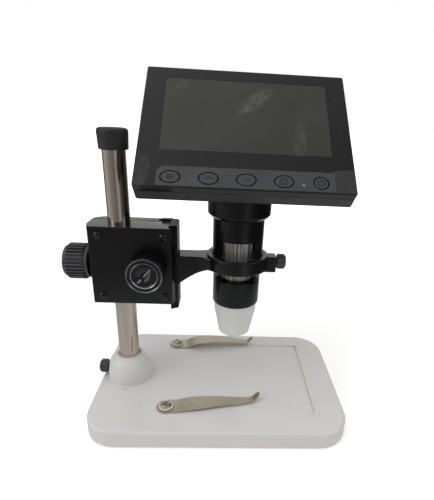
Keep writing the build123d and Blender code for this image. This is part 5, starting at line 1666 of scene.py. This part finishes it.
# Grained ABS in charcoal, satin and plainer than the face
housing_plastic = moulded(
    "housing_plastic", "#28282A", "#2F2F32", (0.42, 0.54), grain=0.5, depth=0.005, patch=18.0
)
display_outline = rounded_box(display_width, display_height, display_corner, 5)
housing = stack(
    "display_tray",
    display_outline,
    [
        (housing_wall, -display_thickness + housing_skin),
        (housing_wall, -panel_depth - parting),
        (housing_edge, -panel_depth - parting),
        (0.0, -panel_depth - parting - housing_edge),
        *rounded_end(housing_round, -display_thickness, 5, -1),
    ],
    face_place,
    housing_plastic,
)
side = display_width / 2
housing = cut_away(
    housing,
    *(
        block_tool((reach, width, height), (side, v, depth), face_place, housing_plastic)
        for v, depth, reach, width, height in side_openings
    ),
)
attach(housing, "head")
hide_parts("rear_housing")
one_screw = cross_screw(
    "housing_screw", housing_screw_radius, housing_screw_height, 0.7, 1.0, Matrix.Identity(4), black_oxide
)
housing_screws = screws(
    "housing_screw_set",
    one_screw,
    [(x, -y, 0) for x, y in housing_screw_places],
    face_place @ Matrix.Translation((0, 0, -display_thickness + 0.5)) @ Matrix.Rotation(pi, 4, "X"),
    black_oxide,
    9,
)
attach(housing_screws, "head")
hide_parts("housing_screws")

# Tinned steel round the sockets, and the foil that wraps the battery, creased and half dull
socket_steel = zinc_finish("socket_steel", "#9A9892", "#B5B3AD", 0.28, 0.4)
dress(socket_steel, "power_socket", "card_slot")
battery_foil = moulded(
    "battery_foil", "#8F9194", "#A3A5A8", (0.3, 0.45), grain=3.0, depth=0.05, patch=8.0, Metallic=0.6
)
dress(battery_foil, "battery")
wheel_core = oblong(wheel_bore, wheel_root, -wheel_half, wheel_half)
dimmer = grip(
    "dimmer_wheel_grip",
    soften(wheel_core, [0.1, 0.3, 0.3, 0.1], 3),
    rib(0.7, wheel_radius - 1.0, wheel_radius, 0.1 - wheel_half, wheel_half - 0.1, 0.2),
    24,
    face_place @ Matrix.Translation((side + wheel_stand_out - wheel_radius, *side_openings[2][:2])),
    knob_plastic,
    48,
)
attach(dimmer, "dimmer")
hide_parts("dimmer_wheel")

# Front panel and screen
# The glossy black front of the display, moulded in one with its shallow side walls. The screen lies behind
# a dark tinted window, and dust and soft pale patches lie on both.
panel_face, panel_wall, panel_edge, panel_round = 2.4, 1.5, 0.15, 0.5
screen_width, screen_height, screen_rise, screen_thickness = 95.04, 53.86, 7.9, 2.9
bezel_width, bezel_height, bezel_corner = 104.6, 65.6, 1.0
key_row, key_half_width, key_half_height, power_radius = -37.0, 5.15, 3.825, 3.95
key_places = (("menu", -40.0), ("up", -20.0), ("down", 0.0), ("ok", 20.0), ("power", 40.0))
key_gap, hole_gap = 0.3, 0.35
dust_pitch, dust_colour = 4.6, "#8A8986"
dust_size, dust_amount = (0.04, 0.11), 0.35
# Each pale patch's place on the face, its turn in degrees, its length and width, and its strength
panel_pale_patches = ((-56.0, -36.0, 80, 30.0, 10.0, 0.1),)
screen_pale_patches = (
    (5.5, 20.0, 47, 33.0, 11.0, 0.2),
    (30.0, -10.0, 88, 34.0, 9.0, 0.1),
    (-39.0, 29.0, 35, 14.0, 5.0, 0.1),
)
lamp_place, lamp_radius = (30.4, -38.7), 0.9


def key_holes(gap):
    """The ovals that the keys and the lamp pass, wider than these by a gap."""
    holes = []
    for name, u in key_places:
        half = (power_radius, power_radius) if name == "power" else (key_half_width, key_half_height)
        holes.append(ellipse(half[0] + gap, half[1] + gap, u, key_row))
    holes.append(ellipse(lamp_radius + gap / 2, lamp_radius + gap / 2, *lamp_place, 24))
    return holes


def smear(tree, place, u, v, turn, length, width, depth):
    """A soft-edged pale patch on the display's face, broken up by a cloud and strongest in its middle."""
    middle = face_place @ Vector((u, v, 0.0))
    lie = (Matrix.Rotation(display_tilt, 4, "X") @ Matrix.Rotation(radians(turn), 4, "Z")).to_euler()
    spot = add_node(
        tree,
        "ShaderNodeMapping",
        {"Vector": place, "Location": middle, "Rotation": lie, "Scale": (length / 2000, width / 2000, 0.01)},
        vector_type="TEXTURE",
    )
    ball = add_node(tree, "ShaderNodeTexGradient", {0: spot.outputs[0]}, gradient_type="SPHERICAL")
    broken_up = between(tree, cloud(tree, place, 5.0, 5.0, 0.7), 0.0, depth, 0.38, 0.6)
    soft = between(tree, ball.outputs["Fac"], 0.0, 1.0, 0.0, 0.4)
    return add_node(tree, "ShaderNodeMath", {0: soft, 1: broken_up}, operation="MULTIPLY").outputs[0]


def handled_gloss(name, dark, light, low, high, pale_patches, **shader_inputs):
    """A glossy surface with soft pale patches and a scatter of dust, drawn coarse enough to be seen."""
    material, tree, shader, place = open_finish(name, dark, low, **shader_inputs)
    smudge = cloud(tree, place, 22.0, 6.0, 0.65)
    dust = add_node(
        tree,
        "ShaderNodeTexVoronoi",
        {"Vector": place, "Scale": 1000 / dust_pitch, "Randomness": 1.0},
        feature="F1",
    ).outputs["Distance"]
    where = cloud(tree, place, 24.0, 2.0)
    speck = between(tree, dust, 0.0, 1.0, dust_size[1], dust_size[0])
    here = between(tree, where, 0.0, dust_amount, 0.5, 0.6)
    amount = add_node(tree, "ShaderNodeMath", {0: speck, 1: here}, operation="MULTIPLY").outputs[0]
    for patch_spec in pale_patches:
        amount = add_node(
            tree, "ShaderNodeMath", {0: amount, 1: smear(tree, place, *patch_spec)}, operation="MAXIMUM"
        ).outputs[0]
    base = shades(tree, smudge, dark, light, 0.3, 0.75)
    dusty = mixed(tree, amount, base, linear(dust_colour))
    wear(tree, shader, dusty, between(tree, smudge, low, high, 0.35, 0.7))
    return material


# Polished black ABS, a mirror dulled by handling
panel_gloss = handled_gloss("panel_gloss", "#070708", "#0D0D0E", 0.12, 0.2, panel_pale_patches)
screen_low, screen_high = screen_rise - screen_height / 2, screen_rise + screen_height / 2
screen_square = oblong(-screen_width / 2, screen_width / 2, screen_low, screen_high)
panel = stack(
    "front_panel_moulding",
    display_outline,
    [
        (panel_wall, -panel_face),
        (panel_wall, -panel_depth),
        (panel_edge, -panel_depth),
        (0.0, -panel_depth + panel_edge),
        *rounded_end(panel_round, 0.0, 4),
    ],
    face_place,
    panel_gloss,
    holes=[screen_square, *key_holes(hole_gap)],
)
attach(panel, "head")
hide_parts("front_panel")

# The switched-off screen: dark, a little olive, under a smooth tinted window
screen_window = handled_gloss("screen_window", "#2D2D28", "#33332D", 0.14, 0.22, screen_pale_patches)
screen = stack(
    "screen_pane",
    screen_square,
    [(0.05, -panel_face - screen_thickness), (0.05, -0.12), (0.12, -0.05)],
    face_place,
    screen_window,
)
bezel = stack(
    "screen_frame",
    rounded_box(bezel_width, bezel_height, bezel_corner, 4, (0.0, screen_rise)),
    [(0.0, -panel_face - screen_thickness), (0.0, -panel_face - 0.05)],
    face_place,
    socket_steel,
)
screen = join("screen_module", screen, bezel)
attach(screen, "head")
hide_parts("lcd_module")

# Key strip and keys
# A thin grey overlay let into the panel, with five rubber keys that stand through it. Each key bears a
# plain sign, and a matt film covers the panel's bare corner beside the strip.
strip_left, strip_right, strip_top, strip_low = -47.4, 48.0, -29.9, -42.6
strip_corner = 5.0
film_points = [(48.3, -42.8), (58.7, -42.8), (58.7, -27.6), (51.5, -27.9), (44.5, -29.5), (48.3, -29.8)]
sign_width, sign_scale = 0.62, 1.25

# Satin polyester film, silicone rubber in nearly the same grey, near-black printing ink and a brownish
# matt film
strip_film = moulded("strip_film", "#34383B", "#3A3E42", (0.34, 0.44), grain=0.4, depth=0.003, patch=12.0)
key_rubber = moulded("key_rubber", "#34373B", "#3A3E42", (0.38, 0.48), grain=0.4, depth=0.003, patch=3.0)
sign_ink, tree, shader, place = open_finish("sign_ink", "#16181A", 0.5)
wear(tree, shader, shades(tree, cloud(tree, place, 0.8, 3.0), "#0A0C0E", "#15181A"))
corner_matt = moulded("corner_matt", "#2B2929", "#312F2F", (0.5, 0.6), grain=0.4, depth=0.003, patch=12.0)
strip = stack(
    "key_overlay",
    soften(oblong(strip_left, strip_right, strip_low, strip_top), [0, 0, 0, strip_corner], 8),
    [(0.0, -0.6), (0.0, 0.0), (0.1, 0.08)],
    face_place,
    strip_film,
    holes=key_holes(hole_gap),
)
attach(strip, "head")
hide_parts("key_strip")
corner_film = stack(
    "corner_film",
    soften(film_points, [0, 0.6, 0.6, 6.0, 6.0, 0.3], 5),
    [(0.0, -0.03), (0.0, 0.02)],
    face_place,
    corner_matt,
)
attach(corner_film, "head")


def stroke(points, width):
    """The outline of a drawn line of even width."""
    points = [Vector(p) for p in points]
    left, right = [], []
    for i, point in enumerate(points):
        before, after = points[max(0, i - 1)], points[min(len(points) - 1, i + 1)]
        along = ((point - before).normalized() + (after - point).normalized()).normalized()
        side = Vector((-along.y, along.x)) * width / 2
        left.append(point + side)
        right.append(point - side)
    return right + left[::-1]


def arc(radius, start, end, steps=20):
    """Points along an arc, in degrees."""
    angles = [radians(start + (end - start) * k / steps) for k in range(steps + 1)]
    return [(radius * cos(a), radius * sin(a)) for a in angles]


key_signs = {
    "menu": [[(-1.6, 0.9), (1.6, 0.9)], [(-1.6, 0.0), (1.6, 0.0)], [(-1.6, -0.9), (1.6, -0.9)]],
    "up": [[(-1.5, -0.6), (0.0, 0.8), (1.5, -0.6)]],
    "down": [[(-1.5, 0.6), (0.0, -0.8), (1.5, 0.6)]],
    "ok": [arc(1.5, 0, 345, steps=28), [(-0.5, 0.0), (0.5, 0.0)]],
    "power": [arc(1.5, 125, 415, steps=26), [(0.0, 0.3), (0.0, 1.9)]],
}
for key_name, u in key_places:
    half = (power_radius, power_radius) if key_name == "power" else (key_half_width, key_half_height)
    cap = stack(
        "key_cap_" + key_name,
        ellipse(half[0] - key_gap, half[1] - key_gap, u, key_row),
        [(0.0, -3.1), (0.0, 0.05), (0.1, 0.19), (0.3, 0.27)],
        face_place,
        key_rubber,
    )
    signs = []
    for number, line in enumerate(key_signs[key_name]):
        outline = [p * sign_scale + Vector((u, key_row)) for p in stroke(line, sign_width / sign_scale)]
        signs.append(
            stack("sign_" + key_name + str(number), outline, [(0, 0.2), (0, 0.3)], face_place, sign_ink)
        )
    key = join("key_" + key_name + "_cap", cap, *signs)
    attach(key, "key_" + key_name)
    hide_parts("key_" + key_name)

# Clear resin over an unlit lamp, grey and glossy
lamp_clear = moulded("lamp_clear", "#646A6E", "#767C80", (0.15, 0.25), grain=0.5, depth=0.004, patch=2.0)
dress(lamp_clear, "status_lamp")
